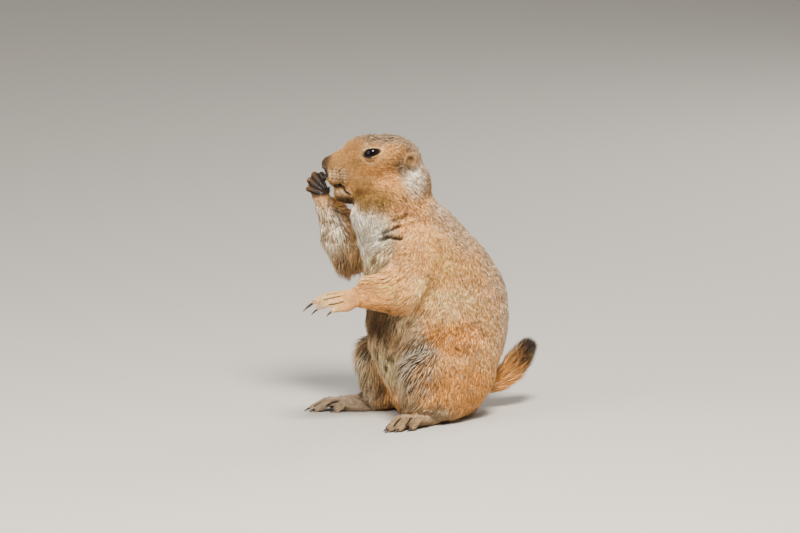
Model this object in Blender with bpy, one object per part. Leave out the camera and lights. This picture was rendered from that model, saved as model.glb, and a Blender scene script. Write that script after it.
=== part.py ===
"""A black-tailed prairie dog, life size, sitting up on its haunches as it feeds.

The trunk faces -Y, the animal's left side is +X, and it sits on the floor at Z = 0. The body is modelled
as named rounded masses that are melted into one skin. The skin is then parted with thin cuts into the
pieces a person would name. Sizes and places are in millimetres, and are turned into metres as the
points are made.
"""

import math
import random

import bmesh
import bpy
from mathutils import Matrix, Vector
from mathutils.bvhtree import BVHTree

MM = 0.001
GAP = 0.3
SIDES = {"left": 1, "right": -1}
FLOOR = ((0.0, 0.0, 0.0), (0.0, 0.0, -1.0))
SHARP_ANGLE = 50.0

# Looks of the slots: colour and roughness

COATS = {
    "fur_buff": ((0.47, 0.30, 0.16), 0.85),
    "fur_cream": ((0.60, 0.50, 0.37), 0.85),
    "fur_tail": ((0.30, 0.17, 0.08), 0.85),
    "nose_skin": ((0.12, 0.09, 0.08), 0.5),
    "claw": ((0.025, 0.02, 0.018), 0.35),
    "eye": ((0.006, 0.005, 0.005), 0.05),
}

# How each group of masses is melted: grain of the skin, softening passes, and triangles that are kept

MELT_BODY = (1.6, 24, 2400)
MELT_HEAD = (0.9, 7, 1250)
MELT_OPEN_HAND = (0.6, 4, 500)
MELT_FIST = (0.6, 3, 500)
MELT_FOOT = (0.7, 4, 440)
MELT_TAIL = (0.9, 6, 220)

# The trunk, as level rings: height, centre Y, half width and half depth

TRUNK_RINGS = (
    (-1, -4, 30, 26),
    (8, -3, 40, 33),
    (20, -2, 44, 38),
    (35, -2, 46, 46),
    (50, -2, 47, 53),
    (66, -2, 47, 57.5),
    (88, -2, 46, 58),
    (107, -4, 44, 56),
    (121, -10, 42, 54),
    (135, -16.5, 40, 50),
    (148, -24.5, 36, 45.5),
    (163, -34.5, 32, 41.5),
    (176, -40.5, 29, 33),
    (190, -38.5, 22, 26),
)
RING_SIDES = 40
RING_STEPS = 4

# Masses of the haunches on the left side: centre and radii

HAUNCH = {
    "hip": ((34, 0, 43), (20, 33, 37)),
    "buttock": ((38, -15, 32), (19.5, 31, 31)),
    "calf": ((40, -22, 24), (15.5, 25, 23)),
}

# Bones of the hind leg on the left side: each joint's place and the thickness round it

THIGH_BONE = (((36, -10, 44), 21), ((41, -37, 43), 17))
SHIN_BONE = (((41, -37, 42), 17), ((38, -33, 12), 15.5))
THIGH_REGION = ((47, -8, 40), (29, 44, 37))
SHIN_REGION = (((44, -38, 40), 24), ((40, -26, 6), 24))

# Planes that part the trunk: a point and the side that is taken off

NECK_CUT = ((-1.0, -35.0, 174.0), (-0.12, -0.40, 0.91))
SHOULDER_CUT = ((0.0, -20.0, 152.0), (-0.03, -0.45, 0.89))
WAIST_CUT = ((0.0, 0.0, 98.0), (0.0, 0.0, 1.0))
BLOCK = 90.0

# The head, in its own frame: to its left, to its back and up from the middle of the skull

HEAD_CENTRE = (-5.0, -46.0, 204.0)
HEAD_YAW = -25.0
SKULL = {
    "nape": ((0, 11.5, -17), (25, 26, 27)),
    "cranium": ((0, 3.5, 2), (22.5, 26.5, 22.5)),
    "forehead": ((0, -15.5, 6.2), (17, 20.5, 18)),
    "muzzle": ((0, -31, -3), (13.5, 17, 16)),
    "throat": ((0, -8, -18), (17, 25, 16)),
}
SKULL_PAIRS = {
    "cheek": ((12, -1, -13), (14.5, 24, 20)),
}
FACE = {
    "snout": ((0, -33, -3), (13, 15.5, 15)),
    "bridge": ((0, -43, 0.5), (6.5, 8, 7)),
    "chin": ((0, -28, -22.5), (11, 13.5, 9.5)),
    "gum": ((0, -33, -12.5), (10, 12.5, 8)),
    "nose": ((0, -47, -2), (5, 4, 4.6)),
}
FACE_PAIRS = {
    "whisker_pad": ((6, -39, -8.5), (7.5, 9, 7.8)),
    "brow": ((12.5, -11, 15), (6, 11, 4.5)),
    "lids": ((12.9, -10.2, 10.7), (8.1, 8.1, 8.1)),
    "ear": ((19.5, 21.5, 7), (4.5, 6.0, 6.6)),
}
NECK_OVERLAP = 4.0
NOSE_REGION = ((0, -51, -0.5), (6.5, 5.0, 5.5))
NOSTRIL = ((3.0, -50.2, -2.5), (1.1, 2.2, 1.4))
NOSTRIL_TURN = 35.0
EYE_CENTRE = FACE_PAIRS["lids"][0]
EYE_RADIUS = 7.2
EYE_LOOK = (0.93, -0.25, 0.24)
EYE_SLOT = (6.9, 4.1)
EYE_SLANT = 10.0
EYE_SLOT_DEPTHS = (0.5, 14.0)
EYE_SLOT_SIDES = 24
EYE_CORNER = 1.3
EAR_HOLLOW = ((24.1, 19.5, 7.3), (3.6, 4.0, 4.6))
EAR_REGION = ((21.5, 21.5, 7), (5.2, 7.8, 8.4))
MOUTH_PATH = (
    (0, -50.0, -13.5),
    (4, -48.5, -14.0),
    (8, -43.5, -15.0),
    (10.5, -37.5, -16.2),
    (11.5, -33.0, -18.0),
    (12.0, -29.0, -22.5),
)
MOUTH_DEPTH = 0.9
MOUTH_FACES = 14
MOUTH_STEPS = 2

# The fore limbs: joints, thickness at each, the full flesh and hair of the forearms, and the egg of
# muscle behind the shoulder

ARMS = {
    "left": {
        "shoulder": (36.0, -37.0, 137.0),
        "elbow": (46.0, -58.0, 107.5),
        "wrist": (42.0, -93.0, 108.0),
    },
    "right": {
        "shoulder": (-34.0, -30.0, 140.0),
        "elbow": (-43.0, -60.0, 127.0),
        "wrist": (-34.5, -86.2, 172.0),
    },
}
ARM_RADII = {"shoulder": 18.0, "elbow": 15.5, "wrist": 8.0}
ARM_FLESH = {
    "raised_forearm": ((-37.0, -73.5, 148.5), (11.0, 14.0, 21.5)),
    "raised_wrist": ((-37.0, -77.5, 162.0), (8.5, 10.5, 14.0)),
    "forward_forearm": ((43.0, -70.0, 119.0), (12.0, 20.0, 12.0)),
}
SHOULDER_SHIFT = (-3.0, 6.0, -6.0)
SHOULDER_RADII = (15.0, 25.0, 29.0)
UPPER_ARM_REGION = (22.0, 19.0)
FOREARM_REGION = ((0.28, 19.0), (1.2, 12.0))
WRIST_BLOCK = 30.0
WRIST_BALL = 14.0
FIST_BALL = 12.0

# The open left hand: its heading, the way its back faces, and its palm

HAND_FORWARD = (-0.05, -0.995, 0.0)
HAND_BACK = (0.57, -0.08, 0.82)
PALM = ((0, 0, 0), 7.4), ((0, 8, 0), 6.4)
PALM_ARCH = 0.05
FINGER_RADII = (3.4, 2.7, 2.2)
FINGER_ROOT = (2.0, 5.0)
FINGER_KNUCKLE = 0.55
FINGER_SPREAD = 1.1
CLAW_DROOP = (0.78, -0.62)

# Its fingers: offset to the outer side, where each starts and ends, its droop, and its claw's length

THUMB = (-7.5, 4.0, 11.0, 5.0, 4.5)
FINGERS = {
    "finger_2": (-5.0, 13.0, 31.0, 6.5, 9.0),
    "finger_3": (-0.8, 15.0, 35.0, 2.6, 13.0),
    "finger_4": (3.6, 13.0, 32.0, 5.0, 9.0),
    "finger_5": (7.8, 9.0, 22.0, 4.4, 7.5),
}
FINGER_CLAW = 1.25
CLAW_OVERLAP = 0.6

# The right hand, a fist at the mouth whose palm faces the left: the middle of the palm and its two axes

FIST_CENTRE = (-34.5, -90.0, 184.0)
FIST_NEAR = (0.89, -0.42, 0.17)
FIST_ACROSS = (0.42, 0.91, 0.0)
FIST_WRIST = 8.0
FIST_PALM = ((0, -5.5, -2), 6.8), ((-1, 2, -3), 6.0)
FIST_ROOT = 3.0
FIST_ROOT_DROP = 1.0
FIST_THUMB = ((4.4, -7.0, 1), 3.2), ((6.4, -1.6, 1.5), 2.4)
FIST_RADII = (3.7, 3.0, 2.7, 2.2)
FIST_DEPTHS = (-3.5, -2.0, 1.2, 3.0)
FIST_CLAWS = (8.0, 4.0)
THUMB_CLAW = 0.95

# Its fingers: angle and reach of the knuckle round the palm, and where the fingertip lies

CURLED = {
    "finger_2": (82.0, 10.2, (3.8, 5.0)),
    "finger_3": (112.0, 10.7, (0.4, 4.0)),
    "finger_4": (144.0, 9.2, (-1.3, 0.7)),
    "finger_5": (188.0, 8.2, (-1.1, -3.5)),
}

# The hind feet: heel, how far the toes turn out, and each toe's offset, start and end

FEET = {
    "left": {"heel": (34.0, -15.0), "toe_out": 22.0},
    "right": {"heel": (-30.0, -33.0), "toe_out": 20.0},
}
TOES = {
    "toe_1": (-7.6, 25.0, 40.0),
    "toe_2": (-4.4, 34.0, 56.0),
    "toe_3": (0.4, 36.0, 60.0),
    "toe_4": (4.9, 34.0, 54.0),
    "toe_5": (8.4, 27.0, 43.0),
}
ANKLE = ((0, 12, 7), 9.0), ((0, 32, 5.5), 7.5)
TOE_PROFILE = ((0.4, 6.5, 6.0), (0.9, 6.2, 3.9), (1.0, 8.0, 3.3), (1.08, 2.6, 2.7))
TOE_ROOT = 14.0
TOE_KNUCKLE = 0.55
TOE_CLAW = (7.0, 1.2)
TOE_CLAW_HEIGHT = 3.0
TOE_CLAW_DROOP = (0.95, -0.14)
FOOT_REGION = ((0, 27, 1), 13.0), ((0, 62, 1), 20.0)
FOOT_OVERLAP = 3.0

# A claw: how far along it each ring lies, how far that has dropped, and how thick it is there

CLAW_RINGS = ((0.0, 0.0, 1.0), (0.5, 0.055, 0.85), (1.0, 0.275, 0.18))
CLAW_SIDES = 6
CLAW_NARROWING = 0.8

# The tail: the path and radii of its core, and the rows of flat locks that stand off it

TAIL_ROOT = (0.0, 28.0, 14.0)
TAIL_PATH = ((0.0, 44.0, 18.5), (0.4, 57.0, 26.0), (1.0, 66.0, 35.0), (1.6, 73.0, 43.5))
TAIL_RADII = (5.5, 5.2, 4.6, 3.6, 2.0)
TAIL_STEPS = 6
LOCK_ROWS = 7
LOCKS_IN_ROW = 6
LOCK_LENGTH = (14.0, 16.0, 16.0, 13.0)
LOCK_LENGTH_SHARES = (0.9, 1.12)
LOCK_SPREAD = (15.0, 27.0, 30.0, 21.0)
LOCK_SPREAD_SHARES = (0.85, 1.15)
LOCK_TURN = 0.24
LOCK_WIDTH = 8.0
LOCK_THICKNESS = 1.9
LOCK_TAPER = ((0.0, 0.7), (0.55, 1.0), (1.0, 0.2))
LOCK_THINNEST = 0.3
LOCK_BEND = 0.12
LOCK_DEPTH = 0.45
LOCK_SEED = 11


def at(x, y, z):
    """A point in metres, from millimetres."""
    return Vector((x, y, z)) * MM


def mirrored(point, sign):
    """A point of the left side, or its mirror image on the right."""
    x, y, z = point
    return Vector((sign * x, y, z))


def material(slot):
    """The plain finish of a material slot, made once."""
    found = bpy.data.materials.get(slot)
    if found:
        return found
    colour, roughness = COATS[slot]
    made = bpy.data.materials.new(slot)
    made.use_nodes = True
    shader = made.node_tree.nodes["Principled BSDF"]
    shader.inputs["Base Color"].default_value = (*colour, 1.0)
    shader.inputs["Roughness"].default_value = roughness
    shader.inputs["Metallic"].default_value = 0.0
    return made


def new_object(name, mesh):
    """Links an object that shows the mesh."""
    made = bpy.data.objects.new(name, mesh)
    bpy.context.scene.collection.objects.link(made)
    return made


def object_of(clay, name="clay"):
    """Turns a bmesh into an object, and frees the bmesh."""
    mesh = bpy.data.meshes.new(name)
    clay.to_mesh(mesh)
    clay.free()
    return new_object(name, mesh)


def remove(obj):
    """Takes an object and its mesh out of the file."""
    mesh = obj.data
    bpy.data.objects.remove(obj)
    bpy.data.meshes.remove(mesh)


def settle(obj):
    """Applies every modifier of the object."""
    graph = bpy.context.evaluated_depsgraph_get()
    graph.update()
    settled = bpy.data.meshes.new_from_object(obj.evaluated_get(graph))
    old = obj.data
    obj.modifiers.clear()
    obj.data = settled
    bpy.data.meshes.remove(old)


def mass(clay, centre, radii, yaw=0.0, fineness=3):
    """Adds an egg-shaped mass with these three radii, turned by degrees about the vertical."""
    turned = Matrix.Rotation(math.radians(yaw), 4, "Z")
    placed = Matrix.Translation(at(*centre)) @ turned @ Matrix.Diagonal((*at(*radii), 1.0))
    bmesh.ops.create_icosphere(clay, subdivisions=fineness, radius=1.0, matrix=placed)


def limb(clay, *stations, fineness=2):
    """Adds a tapered limb through stations, each a centre and a radius."""
    for (start, start_radius), (end, end_radius) in zip(stations, stations[1:]):
        hull = bmesh.new()
        for centre, radius in ((start, start_radius), (end, end_radius)):
            placed = Matrix.Translation(at(*centre))
            bmesh.ops.create_icosphere(hull, subdivisions=fineness, radius=radius * MM, matrix=placed)
        bmesh.ops.delete(hull, geom=hull.edges, context="EDGES_FACES")
        bmesh.ops.convex_hull(hull, input=hull.verts)
        inner = [vertex for vertex in hull.verts if not vertex.link_faces]
        bmesh.ops.delete(hull, geom=inner, context="VERTS")
        mesh = bpy.data.meshes.new("hull")
        hull.to_mesh(mesh)
        hull.free()
        clay.from_mesh(mesh)
        bpy.data.meshes.remove(mesh)


def loft(clay, rings):
    """Adds a closed body through rings, each a list of the same number of points in metres."""
    made = [[clay.verts.new(point) for point in ring] for ring in rings]
    sides = len(rings[0])
    for lower, upper in zip(made, made[1:]):
        for step in range(sides):
            after = (step + 1) % sides
            clay.faces.new((lower[step], lower[after], upper[after], upper[step]))
    clay.faces.new(made[0][::-1])
    clay.faces.new(made[-1])
    bmesh.ops.recalc_face_normals(clay, faces=clay.faces)


def turns(sides):
    """The angles of so many points spread evenly round a ring."""
    return [2 * math.pi * step / sides for step in range(sides)]


def between(t, before, here, there, after):
    """A value at t of the way from here to there, on a smooth curve through all four."""
    bend = 2 * before - 5 * here + 4 * there - after
    twist = 3 * here - before - 3 * there + after
    return 0.5 * (2 * here + (there - before) * t + bend * t**2 + twist * t**3)


def eased(stations, steps):
    """The stations with smooth ones in between, on a curve through all of them."""
    made = []
    for index in range(len(stations) - 1):
        before = stations[max(index - 1, 0)]
        here, there = stations[index], stations[index + 1]
        after = stations[min(index + 2, len(stations) - 1)]
        for step in range(steps):
            made.append(tuple(between(step / steps, *four) for four in zip(before, here, there, after)))
    made.append(stations[-1])
    return made


def along(values, t):
    """The value at t, between 0 and 1, on straight lines through the values."""
    place = t * (len(values) - 1)
    index = min(int(place), len(values) - 2)
    return values[index] + (values[index + 1] - values[index]) * (place - index)


def melt(obj, voxel, passes):
    """Melts the masses of the object into one closed skin, and softens it."""
    remesh = obj.modifiers.new("Remesh", "REMESH")
    remesh.mode = "VOXEL"
    remesh.voxel_size = voxel * MM
    smooth = obj.modifiers.new("Smooth", "SMOOTH")
    smooth.factor = 0.5
    smooth.iterations = passes
    settle(obj)
    return obj


def thin(obj, faces):
    """Thins the skin to about that many triangles."""
    triangles = sum(len(face.vertices) - 2 for face in obj.data.polygons)
    fewer = obj.modifiers.new("Decimate", "DECIMATE")
    fewer.ratio = min(1.0, faces / triangles)
    settle(obj)


def keep_largest(obj):
    """Keeps only the largest closed surface of the object."""
    shape = bmesh.new()
    shape.from_mesh(obj.data)
    left, islands = set(shape.verts), []
    while left:
        island, queue = set(), [left.pop()]
        while queue:
            vertex = queue.pop()
            island.add(vertex)
            for edge in vertex.link_edges:
                other = edge.other_vert(vertex)
                if other in left:
                    left.discard(other)
                    queue.append(other)
        islands.append(island)
    islands.sort(key=len)
    for island in islands[:-1]:
        bmesh.ops.delete(shape, geom=list(island), context="VERTS")
    shape.to_mesh(obj.data)
    shape.free()


def trim(obj, cutter, operation="DIFFERENCE"):
    """Cuts the object with the cutter, and takes the cutter out."""
    cut = obj.modifiers.new("Cut", "BOOLEAN")
    cut.operation = operation
    cut.object = cutter
    cut.solver = "EXACT"
    settle(obj)
    remove(cutter)
    keep_largest(obj)


def beyond(plane, grow=0.0, reach=BLOCK):
    """A block whose flat face lies on the plane, on the side that the normal points to."""
    point, normal = plane
    clay = bmesh.new()
    turned = Vector(normal).to_track_quat("Z", "Y").to_matrix().to_4x4()
    placed = Matrix.Translation(at(*point)) @ turned @ Matrix.Translation(at(0, 0, reach - grow))
    bmesh.ops.create_cube(clay, size=2 * reach * MM, matrix=placed)
    return object_of(clay, "block")


def around(stations, grow=0.0):
    """A closed hull round two balls, for parting a limb off where it meets the body."""
    clay = bmesh.new()
    limb(clay, *[(centre, radius + grow) for centre, radius in stations])
    return object_of(clay, "hull")


def egg(centre, radii, yaw=0.0, grow=0.0, fineness=3):
    """An egg-shaped cutter."""
    clay = bmesh.new()
    mass(clay, centre, [radius + grow for radius in radii], yaw, fineness)
    return object_of(clay, "egg")


def head_egg(sign, shape, grow=0.0, fineness=3, yaw=HEAD_YAW):
    """An egg-shaped cutter in the frame of the head, on its left or right."""
    centre, radii = shape
    return egg(head_point(*mirrored(centre, sign)), radii, yaw, grow, fineness)


def finish(obj, name, slot):
    """Names the object, gives it its material and shades it smooth."""
    obj.name = name
    obj.data.name = name
    obj.data.materials.clear()
    obj.data.materials.append(material(slot))
    obj.data.shade_smooth()
    obj.data.set_sharp_from_angle(angle=math.radians(SHARP_ANGLE))
    return obj


def piece_of(whole, cutter):
    """A copy of the part of the whole that lies inside the cutter."""
    piece = new_object("piece", whole.data.copy())
    trim(piece, cutter, "INTERSECT")
    return piece


def part_off(whole, name, slot, region):
    """Takes the piece of the whole that lies in the region, and leaves a thin gap between the two."""
    piece = piece_of(whole, region(0.0))
    trim(whole, region(GAP))
    return finish(piece, name, slot)


def refine(rough, clay, recipe):
    """Melts finer masses onto a rough piece of the body, and thins the skin."""
    voxel, passes, faces = recipe
    clay.from_mesh(rough.data)
    remove(rough)
    made = melt(object_of(clay), voxel, passes)
    thin(made, faces)
    return made


def head_point(x, y, z):
    """A point of the head, given to its left, to its back and up, in the frame of the body."""
    turned = Matrix.Rotation(math.radians(HEAD_YAW), 3, "Z") @ Vector((x, y, z))
    return turned + Vector(HEAD_CENTRE)


def head_masses(clay, single, paired):
    """Adds masses to the head, the paired ones on both sides."""
    for centre, radii in single.values():
        mass(clay, head_point(*centre), radii, HEAD_YAW)
    for centre, radii in paired.values():
        for sign in SIDES.values():
            mass(clay, head_point(*mirrored(centre, sign)), radii, HEAD_YAW)


def foot_place(side):
    """A function that places points by offset to the outer side, forward from the heel, and height."""
    sign = SIDES[side]
    heel_x, heel_y = FEET[side]["heel"]
    turn = math.radians(FEET[side]["toe_out"])
    ahead = Vector((sign * math.sin(turn), -math.cos(turn), 0))
    aside = Vector((sign * math.cos(turn), math.sin(turn), 0))

    def place(outward, forward, height):
        return Vector((heel_x, heel_y, height)) + aside * outward + ahead * forward

    return place


def placed_stations(place, stations):
    """Stations of a limb, each moved to where the function places it."""
    return [(place(*centre), radius) for centre, radius in stations]


def level_ring(height, y, half_width, half_depth):
    """The points of one level ring of the trunk."""
    return [
        at(half_width * math.cos(turn), y + half_depth * math.sin(turn), height)
        for turn in turns(RING_SIDES)
    ]


def body_clay():
    """The trunk, skull, arms and legs as rounded masses."""
    clay = bmesh.new()
    loft(clay, [level_ring(*ring) for ring in eased(TRUNK_RINGS, RING_STEPS)])
    for side, sign in SIDES.items():
        arm = ARMS[side]
        mass(clay, Vector(arm["shoulder"]) + mirrored(SHOULDER_SHIFT, sign), SHOULDER_RADII)
        limb(clay, *[(arm[joint], radius) for joint, radius in ARM_RADII.items()], fineness=3)
        for centre, radii in HAUNCH.values():
            mass(clay, mirrored(centre, sign), radii)
        for bone in (THIGH_BONE, SHIN_BONE):
            limb(clay, *[(mirrored(joint, sign), radius) for joint, radius in bone], fineness=3)
        limb(clay, *placed_stations(foot_place(side), ANKLE), fineness=3)
    for centre, radii in ARM_FLESH.values():
        mass(clay, centre, radii)
    head_masses(clay, SKULL, SKULL_PAIRS)
    return clay


def groove(obj, path, radius):
    """Cuts a rounded groove along a path that is drawn onto the surface."""
    shape = bmesh.new()
    shape.from_mesh(obj.data)
    tree = BVHTree.FromBMesh(shape)
    points = [tree.find_nearest(at(*point))[0] / MM for point in path]
    shape.free()
    clay = bmesh.new()
    limb(clay, *[(point, radius) for point in points])
    cutter = melt(object_of(clay, "groove"), voxel=radius / 3, passes=2)
    thin(cutter, MOUTH_FACES * len(path))
    trim(obj, cutter)


def eye_slot(sign):
    """The almond-shaped slot between the lids."""
    look = mirrored(EYE_LOOK, sign).normalized()
    slant = math.radians(EYE_SLANT)
    back = Vector((0, math.cos(slant), math.sin(slant)))
    long = (back - look * back.dot(look)).normalized()
    high = look.cross(long) * sign
    half_length, half_height = EYE_SLOT
    rings = []
    for depth in EYE_SLOT_DEPTHS:
        ring = []
        for turn in turns(EYE_SLOT_SIDES):
            lift = math.copysign(abs(math.sin(turn)) ** EYE_CORNER, math.sin(turn))
            spot = mirrored(EYE_CENTRE, sign) + look * depth
            spot += long * half_length * math.cos(turn) + high * half_height * lift
            ring.append(head_point(*spot) * MM)
        rings.append(ring)
    clay = bmesh.new()
    loft(clay, rings)
    return object_of(clay, "slot")


def build_head(skull):
    """Carves the face out of the skull, and parts the nose, ears and eyes off."""
    clay = bmesh.new()
    head_masses(clay, FACE, FACE_PAIRS)
    head = refine(skull, clay, MELT_HEAD)
    ball = (EYE_CENTRE, (EYE_RADIUS, EYE_RADIUS, EYE_RADIUS))
    for sign in SIDES.values():
        trim(head, head_egg(sign, EAR_HOLLOW, fineness=2))
        trim(head, head_egg(sign, NOSTRIL, fineness=2, yaw=HEAD_YAW + sign * NOSTRIL_TURN))
        trim(head, eye_slot(sign))
        trim(head, head_egg(sign, ball, GAP))
    mouth = eased([mirrored(point, -1) for point in MOUTH_PATH[:0:-1]] + list(MOUTH_PATH), MOUTH_STEPS)
    groove(head, [head_point(*point) for point in mouth], MOUTH_DEPTH)
    trim(head, beyond(NECK_CUT), "INTERSECT")
    part_off(head, "nose", "nose_skin", lambda grow: head_egg(1, NOSE_REGION, grow, fineness=2))
    for side, sign in SIDES.items():
        part_off(head, f"ear_{side}", "fur_buff", lambda grow: head_egg(sign, EAR_REGION, grow, fineness=2))
        finish(head_egg(sign, ball), f"eye_{side}", "eye")
    finish(head, "head", "fur_buff")


def part_arm(whole, side):
    """Parts the upper arm and the forearm off the body."""
    arm = ARMS[side]
    elbow, wrist = Vector(arm["elbow"]), Vector(arm["wrist"])
    fore = wrist - elbow
    length = [(elbow + fore * share, radius) for share, radius in FOREARM_REGION]
    forearm = part_off(whole, f"forearm_{side}", "fur_buff", lambda grow: around(length, grow))
    trim(forearm, beyond((wrist, fore), GAP, WRIST_BLOCK))
    ends = list(zip((arm["shoulder"], arm["elbow"]), UPPER_ARM_REGION))
    part_off(whole, f"upper_arm_{side}", "fur_buff", lambda grow: around(ends, grow))


def part_leg(whole, side):
    """Parts the thigh and the shin off the body, and clears the room of the foot."""
    sign = SIDES[side]
    trim(whole, foot_region(side, GAP))
    centre, radii = THIGH_REGION
    part_off(whole, f"thigh_{side}", "fur_buff", lambda grow: egg(mirrored(centre, sign), radii, grow=grow))
    ends = [(mirrored(end, sign), radius) for end, radius in SHIN_REGION]
    part_off(whole, f"shin_{side}", "fur_cream", lambda grow: around(ends, grow))


def part_trunk(whole):
    """Parts the body, below the head, into its pieces."""
    thin(whole, MELT_BODY[2])
    trim(whole, beyond(FLOOR))
    for side in SIDES:
        part_arm(whole, side)
        part_leg(whole, side)
    trim(whole, beyond(NECK_CUT, GAP))
    part_off(whole, "neck", "fur_buff", lambda grow: beyond(SHOULDER_CUT, grow))
    part_off(whole, "chest", "fur_buff", lambda grow: beyond(WAIST_CUT, grow))
    trim(whole, around(tuple(zip((TAIL_ROOT, TAIL_PATH[0]), TAIL_RADII)), GAP))
    finish(whole, "belly", "fur_buff")


def claw_shape(start, way, down, length, radius, grow=0.0):
    """A tapered claw that starts in the fingertip and curves down."""
    way, down = Vector(way).normalized(), Vector(down)
    down = (down - way * down.dot(way)).normalized()
    side = way.cross(down)
    rings = []
    for part, drop, scale in CLAW_RINGS:
        middle = Vector(start) + way * (part * length) + down * (drop * length)
        if part == 0.0:
            middle -= way * grow
        reach = radius * scale + grow
        rings.append([
            (middle + side * reach * CLAW_NARROWING * math.cos(turn) + down * reach * math.sin(turn)) * MM
            for turn in turns(CLAW_SIDES)
        ])
    clay = bmesh.new()
    loft(clay, rings)
    return object_of(clay, "claw")


def add_claw(paw, name, start, way, down, length, radius):
    """Sets a claw in the paw, with a thin gap round its root."""
    trim(paw, claw_shape(start, way, down, length, radius, GAP))
    finish(claw_shape(start, way, down, length, radius), name, "claw")


def build_open_hand(whole):
    """The left hand, stretched forward with its fingers drooping."""
    elbow, wrist = Vector(ARMS["left"]["elbow"]), Vector(ARMS["left"]["wrist"])
    way = Vector(HAND_FORWARD).normalized()
    top = Vector(HAND_BACK)
    top = (top - way * top.dot(way)).normalized()
    out = way.cross(top)
    if out.x < 0:
        out = -out

    def spot(aside, ahead, lift):
        return wrist + out * aside + way * ahead + top * lift

    base, middle, tip = FINGER_RADII
    root_ahead, root_radius = FINGER_ROOT
    clay = bmesh.new()
    limb(clay, *placed_stations(spot, PALM))
    aside, start, end, droop, length = THUMB
    limb(clay, (spot(aside / 2, start, 0), base), (spot(aside, end, -droop), tip))
    claws = {"thumb": (spot(aside, end, -droop), length)}
    for name, (aside, start, end, droop, length) in FINGERS.items():
        arch = -PALM_ARCH * aside * aside
        spread = aside * FINGER_SPREAD
        knuckle = start + (end - start) * FINGER_KNUCKLE
        limb(clay, (spot(aside / 2, root_ahead, 0), root_radius), (spot(aside, start, arch), base))
        limb(clay, (spot(aside, start, arch), base), (spot(spread, knuckle, arch), middle),
             (spot(spread, end, -droop), tip))
        claws[name] = (spot(spread, end - CLAW_OVERLAP, -droop), length)
    paw = refine(piece_of(whole, egg(wrist, [WRIST_BALL] * 3)), clay, MELT_OPEN_HAND)
    trim(paw, beyond((wrist, wrist - elbow)), "INTERSECT")
    forward, lift = CLAW_DROOP
    for name, (root, length) in claws.items():
        add_claw(paw, f"claw_{name}_left", root, way * forward + top * lift, -top, length, FINGER_CLAW)
    finish(paw, "hand_left", "fur_cream")


def build_fist(whole):
    """The right hand, raised to the mouth with its fingers curled."""
    elbow, wrist = Vector(ARMS["right"]["elbow"]), Vector(ARMS["right"]["wrist"])
    near, across = Vector(FIST_NEAR).normalized(), Vector(FIST_ACROSS).normalized()
    top = near.cross(across)

    def spot(right, up, toward):
        return Vector(FIST_CENTRE) + across * right + top * up + near * toward

    clay = bmesh.new()
    limb(clay, (wrist, FIST_WRIST), *placed_stations(spot, FIST_PALM))
    limb(clay, *placed_stations(spot, FIST_THUMB))
    palm, knuckle, joint, pad = zip(FIST_DEPTHS, FIST_RADII)
    tips = {}
    for name, (angle, reach, (tip_right, tip_up)) in CURLED.items():
        right, up = math.cos(math.radians(angle)), math.sin(math.radians(angle))
        outer, tip = spot(right * reach, up * reach, joint[0]), spot(tip_right, tip_up, pad[0])
        limb(clay, (spot(right * FIST_ROOT, up * FIST_ROOT - FIST_ROOT_DROP, palm[0]), palm[1]),
             (spot(right * reach, up * reach, knuckle[0]), knuckle[1]), (outer, joint[1]), (tip, pad[1]))
        tips[name] = (tip, tip - outer)
    paw = refine(piece_of(whole, egg(wrist, [FIST_BALL] * 3)), clay, MELT_FIST)
    trim(paw, beyond((wrist, wrist - elbow)), "INTERSECT")
    long, short = FIST_CLAWS
    for name, (tip, ahead) in tips.items():
        add_claw(paw, f"claw_{name}_right", tip, ahead, -near, long, FINGER_CLAW)
    thumb_tip = spot(*FIST_THUMB[1][0])
    add_claw(paw, "claw_thumb_right", thumb_tip, across + top, -near, short, THUMB_CLAW)
    finish(paw, "hand_right", "fur_cream")


def foot_region(side, grow=0.0):
    """The region of a foot, from the ankle to beyond the toes."""
    return around(placed_stations(foot_place(side), FOOT_REGION), grow)


def build_foot(whole, side):
    """A hind foot, flat on the floor, with five arched toes."""
    place = foot_place(side)
    clay = bmesh.new()
    for outward, start, end in TOES.values():
        lengths = (TOE_ROOT, start, start + (end - start) * TOE_KNUCKLE, end)
        limb(clay, *[
            (place(outward * spread, length, height), radius)
            for length, (spread, height, radius) in zip(lengths, TOE_PROFILE)
        ])
    foot = refine(piece_of(whole, foot_region(side, FOOT_OVERLAP)), clay, MELT_FOOT)
    trim(foot, beyond(FLOOR))
    trim(foot, foot_region(side), "INTERSECT")
    forward, lift = TOE_CLAW_DROOP
    ahead = (place(0, 1, 0) - place(0, 0, 0)) * forward + Vector((0, 0, lift))
    for name, (outward, start, end) in TOES.items():
        root = place(outward * TOE_PROFILE[-1][0], end, TOE_CLAW_HEIGHT)
        add_claw(foot, f"claw_{name}_{side}", root, ahead, (0, 0, -1), *TOE_CLAW)
    finish(foot, f"foot_{side}", "fur_cream")


def lock(root, way, flat, length, bend):
    """A flat tapered lock of hair from its root along way, with its flat side facing flat."""
    side = way.cross(flat).normalized()
    face = side.cross(way).normalized()
    rings = []
    for part, taper in LOCK_TAPER:
        middle = root + way * (length * part) + bend * (length * part * part)
        half_width = LOCK_WIDTH * taper / 2
        half_depth = LOCK_THICKNESS * max(taper, LOCK_THINNEST) / 2
        corners = (side * half_width, face * half_depth, -side * half_width, -face * half_depth)
        rings.append([(middle + corner) * MM for corner in corners])
    clay = bmesh.new()
    loft(clay, rings)
    return object_of(clay, "lock")


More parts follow.
